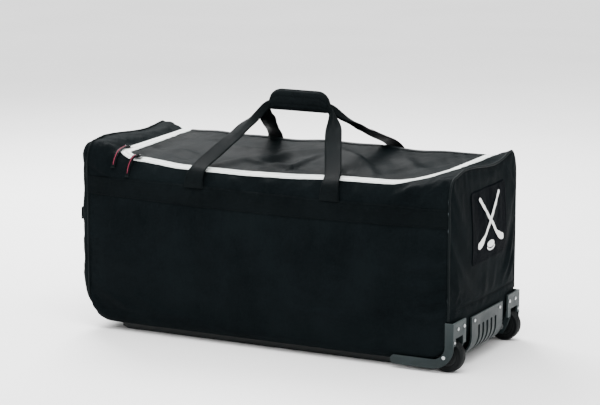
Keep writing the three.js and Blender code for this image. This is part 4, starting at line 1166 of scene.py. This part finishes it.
def build_grab():
    z = middle_of("left_grab_handle").z
    rise = [(-138, 460.8), (-126, 463.0), (-110, 467.5), (-88, 471.6), (-60, 473.8), (-30, 474.7), (0, 474.9)]
    half = stations(*((-x, y, 0, -1, 0, 0, 1) for y, x in rise)) + (-END_ROLL[-1], 0, z, 0, 0, 0, 0)
    ob, path, out, across = strap("grab_webbing", mirrored(half, (1, -1, 1, 1, 1, 1, 1)), 0.025, STRAP_T, per=6)
    dress(ob, "grab_handle", "webbing", WEBBING, replaces=("left_grab_handle",))
    inner = slice(2, -2)
    for edge, shift in (("a", -0.78), ("b", 0.78)):
        line = path[inner] + across[inner] * shift + out[inner] * (STRAP_T / 2)
        sew(f"grab_stitches_{edge}", line, out[inner], "grab_handle")
    for tag, side in (("front", -1), ("rear", 1)):
        place = (side * 0.1535, z)
        plan = rounded_square(0.0150, 0.0140, 0.003, 15)
        tab = grid_object(f"grab_tab_{tag}", on_end(-1, plan + place, 0.0042), plan)
        outward_from(tab, (0, 0, z))
        dress(thicken(tab, 0.0034), "bag_body", "webbing", WEBBING, replaces=(f"left_grab_tab_{tag}",))
        cross = np.linspace([-0.0115, -0.0105], [0.0115, 0.0105], 14)
        for k, trail in enumerate((border(rounded_square(0.0115, 0.0105, 0.001, 13)), cross, cross * (1, -1))):
            sew_end(f"grab_tab_{tag}_stitches_{k}", -1, trail + place, 0.0043, length=0.0022)


build_grab()


# ---------------------------------------------------------------- zip pullers
PIVOT = {j["child"]: Vector(j["pos_m"]) for j in frame["joints"] if j["child"].endswith("_puller")}
TAILS = {                                   # (y, z) from the pivot, in millimetres
    "front": [(0, 0), (-6, 0.3), (-11, 0), (-20, -7), (-28.5, -22), (-33.5, -44)],
    "left": [(0, 0), (-8, 0.4), (-16, 0.5), (-36, -2), (-50, -7), (-63, -19), (-73, -37)],
}
LEAN = {"front": -0.009, "left": 0.004}     # how far a tail's tip leans in x
LEAN_FROM = 0.008                           # where it starts to lean, past the slider


def build_puller(tag):
    pivot, body = PIVOT[f"{tag}_puller"], f"{tag}_puller"
    y, z = np.array(TAILS[tag]).T / 1000
    lean = LEAN[tag] * np.maximum(0, -y - LEAN_FROM) / (-y[-1] - LEAN_FROM)
    line = points_of(pivot.x + lean, pivot.y + y, pivot.z + z)
    out = np.cross([1.0, 0, 0], unit(np.gradient(line, axis=0)))
    if out[:, 2].sum() < 0:
        out = -out
    whole = np.hstack([line, out, np.ones((len(line), 1))])
    ob, path, up, across = strap(f"{tag}_pull_tab", whole, 0.0096, 0.0024, per=7)
    dress(ob, body, "webbing", WEBBING, replaces=(f"puller_{tag}",))
    free = slice(9, len(path) - 2)
    for face, sign in (("outer", 1), ("inner", -1)):
        core = path[free] + up[free] * sign * 0.00155
        edges = np.stack([core - across[free] * 0.13, core + across[free] * 0.13], 1)
        strip = grid_object(f"{tag}_pull_line_{face}", edges)
        dress(thicken(strip, 0.0006, offset=0.0), body, "webbing", PULL_LINE)
    turn = np.linspace(0, math.tau, 24, endpoint=False)
    ring = points_of(pivot.x, pivot.y + 0.0026 * np.cos(turn), pivot.z + 0.0026 * np.sin(turn))
    for k, dx in enumerate((-0.0030, 0.0, 0.0030)):
        loop = tube(f"{tag}_pull_eye_{k}", ring + [dx, 0, 0], 0.0009, sides=8, closed=True)
        dress(loop, body, "webbing", WEBBING)
    tip, half = path[-1], across[-1] * 0.96
    dress(tube(f"{tag}_pull_end", np.linspace(tip - half, tip + half, 6), 0.0018), body, "webbing", BINDING)


build_puller("front")
build_puller("left")


# ---------------------------------------------------------------- wheels, fixings and plastics
def turned(name, profile, x, z, y0, side, count=72):
    """A solid turned about an axis along y; profile is (radius, distance from y0) and closes on itself."""
    turn = np.linspace(0, math.tau, count, endpoint=False)[:, None]
    r, d = np.array(profile).T
    rings = points_of(x + r * np.cos(turn), side * (y0 + d), z + r * np.sin(turn))
    ob = outward(grid_object(name, rings, wrap_rows=True, wrap_cols=True))
    ob.data.set_sharp_from_angle(angle=math.radians(38))
    return ob


def tyre_profile():
    radius, deep, half = 0.0360, 0.0009, 0.0125
    tread = [(radius - low * deep, y + step) for y in (-0.0052, 0.0, 0.0052)
             for step, low in ((-0.0012, 0), (-0.0008, 1), (0.0008, 1), (0.0012, 0))]
    shoulder = [(r / 1e4, d / 1e4 - half) for r, d in
                ((217, 8), (250, 2), (262, 10), (300, 8), (330, 6), (349, 22), (358, 46))]
    return shoulder + tread + [(r, -d) for r, d in reversed(shoulder)]


def screw_head(node_name, radius, cross):
    """A domed head with a cross recess, or a plain rivet, on the wheel end's plates."""
    centre, base = middle_of(node_name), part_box(node_name)[1].x - 0.0019
    r, a = grid(np.linspace(0, 1, 22), np.linspace(0, math.tau, 73))
    y, z = r * radius * np.cos(a), r * radius * np.sin(a)
    dome = 0.0018 * np.sqrt(np.clip(1 - (r * 0.93) ** 2, 0, 1))
    if cross:
        arm = (np.minimum(np.abs(y), np.abs(z)) < 0.00045) & (np.hypot(y, z) < radius * 0.62)
        dome = np.where(arm, dome - 0.0009, dome)
    else:
        dome = dome - 0.0004 * np.exp(-((r - 0.42) / 0.07) ** 2)
    x = base + np.where(r > 0.985, 0.0001, dome)
    ob = grid_object(f"{node_name}_cap", points_of(x, centre.y + y, centre.z + z))
    outward_from(ob, (0, centre.y, centre.z))
    ob.data.set_sharp_from_angle(angle=math.radians(40))
    dress(thicken(ob, 0.0006), "bag_body", "metal", STEEL)


def soften(node_name, material, width=0.0):
    """A carried-over CAD solid gets a welded, bevelled, smooth-shaded surface and its material."""
    ob = frame["nodes"][node_name]
    mesh = ob.data
    mesh.materials.clear()
    mesh.materials.append(material)
    mesh.polygons.foreach_set("material_index", [0] * len(mesh.polygons))
    mesh.polygons.foreach_set("use_smooth", [True] * len(mesh.polygons))
    if "custom_normal" in mesh.attributes:
        mesh.attributes.remove(mesh.attributes["custom_normal"])
    ob.modifiers.new("weld", "WELD").merge_threshold = 1e-6
    if width:
        bevel = ob.modifiers.new("soft_edges", "BEVEL")
        bevel.width, bevel.segments = width, 2
        bevel.limit_method, bevel.angle_limit = "ANGLE", math.radians(35)
        bevel.harden_normals = False
        bevel.use_clamp_overlap = True
    ob.modifiers.new("face_normals", "WEIGHTED_NORMAL").keep_sharp = True


for tag, side in (("front", -1), ("rear", 1)):
    centre = middle_of(f"{tag}_wheel_tyre")
    tyre = turned(f"{tag}_tyre", tyre_profile(), centre.x, centre.z, abs(centre.y), side)
    dress(tyre, f"{tag}_wheel", "rubber", RUBBER, replaces=(f"{tag}_wheel_tyre",))
    for part, material, width in (("wheel_housing", MOULDING, 0.0009), ("wheel_hub", RAIL, 0.0004),
                                  ("axle", STEEL, 0.0003), ("skid_rail", RAIL, 0.0012)):
        soften(f"{tag}_{part}", material, width)
    for node_name, radius, cross in (
            (f"{tag}_housing_rivet_outer", 0.0040, False), (f"{tag}_housing_rivet_inner", 0.0040, False),
            (f"{tag}_housing_screw", 0.0031, True), (f"kick_plate_screw_{tag}", 0.0037, True)):
        soften(node_name, STEEL)
        screw_head(node_name, radius, cross)
soften("kick_plate", MOULDING, 0.0008)
soften("base_board", BOARD, 0.0008)
soften("slider_front", SLIDER_METAL, 0.0005)
soften("slider_left", SLIDER_METAL, 0.0005)


# ---------------------------------------------------------------- floor, light and camera
def build_stage():
    bpy.ops.mesh.primitive_grid_add(x_subdivisions=8, y_subdivisions=8, size=30, location=(0, 0, 0))
    floor = bpy.context.object
    floor.name = "floor"
    material, tree, shader = start_material("pale_floor", 0.7, 0.2)
    tree.links.new(ramp(tree, noise(tree, 1.5, 3.0), [(0.3, 0.86), (0.7, 0.90)]), shader.inputs["Base Color"])
    floor.data.materials.append(material)

    world = bpy.data.worlds.new("studio")
    bpy.context.scene.world = world
    world.use_nodes = True
    tree = world.node_tree
    way = node(tree, "SeparateXYZ", {"Vector": node(tree, "TexCoord").outputs["Generated"]})
    tree.links.new(ramp(tree, way.outputs["Z"], [(0.0, 0.5), (0.45, 0.9), (1.0, 3.6)]),
                   tree.nodes["Background"].inputs["Color"])


def light(name, place, aim, size, power):
    lamp = bpy.data.lights.new(name, "AREA")
    lamp.shape, lamp.size, lamp.size_y, lamp.energy = "RECTANGLE", *size, power
    ob = bpy.data.objects.new(name, lamp)
    bpy.context.scene.collection.objects.link(ob)
    ob.location = place
    ob.rotation_euler = (Vector(aim) - Vector(place)).to_track_quat("-Z", "Y").to_euler()


AZIMUTH, ELEVATION, DISTANCE = math.radians(27.33), math.radians(11.1), 5.3049
AIM = Vector((0.0009, 0, 0.302))


def build_camera():
    back = Vector((math.sin(AZIMUTH) * math.cos(ELEVATION), -math.cos(AZIMUTH) * math.cos(ELEVATION),
                   math.sin(ELEVATION)))
    data = bpy.data.cameras.new("photo_view")
    data.sensor_width, data.lens = 36.0, 140.8
    data.clip_start, data.clip_end = 0.1, 100
    camera = bpy.data.objects.new("photo_view", data)
    bpy.context.scene.collection.objects.link(camera)
    camera.location = AIM + back * DISTANCE
    camera.rotation_euler = (-back).to_track_quat("-Z", "Y").to_euler()
    bpy.context.scene.camera = camera


build_stage()
light("overhead", (-1.5, 1.5, 2.3), (0, 0, 0.35), (1.6, 1.2), 210)
light("top_front", (0.5, -1.1, 2.9), (0, 0, 0.2), (2.0, 1.2), 90)
light("front_left", (-2.4, -2.2, 1.9), (0, 0, 0.25), (1.6, 1.6), 25)
light("right_side", (2.8, -0.6, 1.3), (0.3, 0, 0.25), (1.2, 1.4), 12)
build_camera()
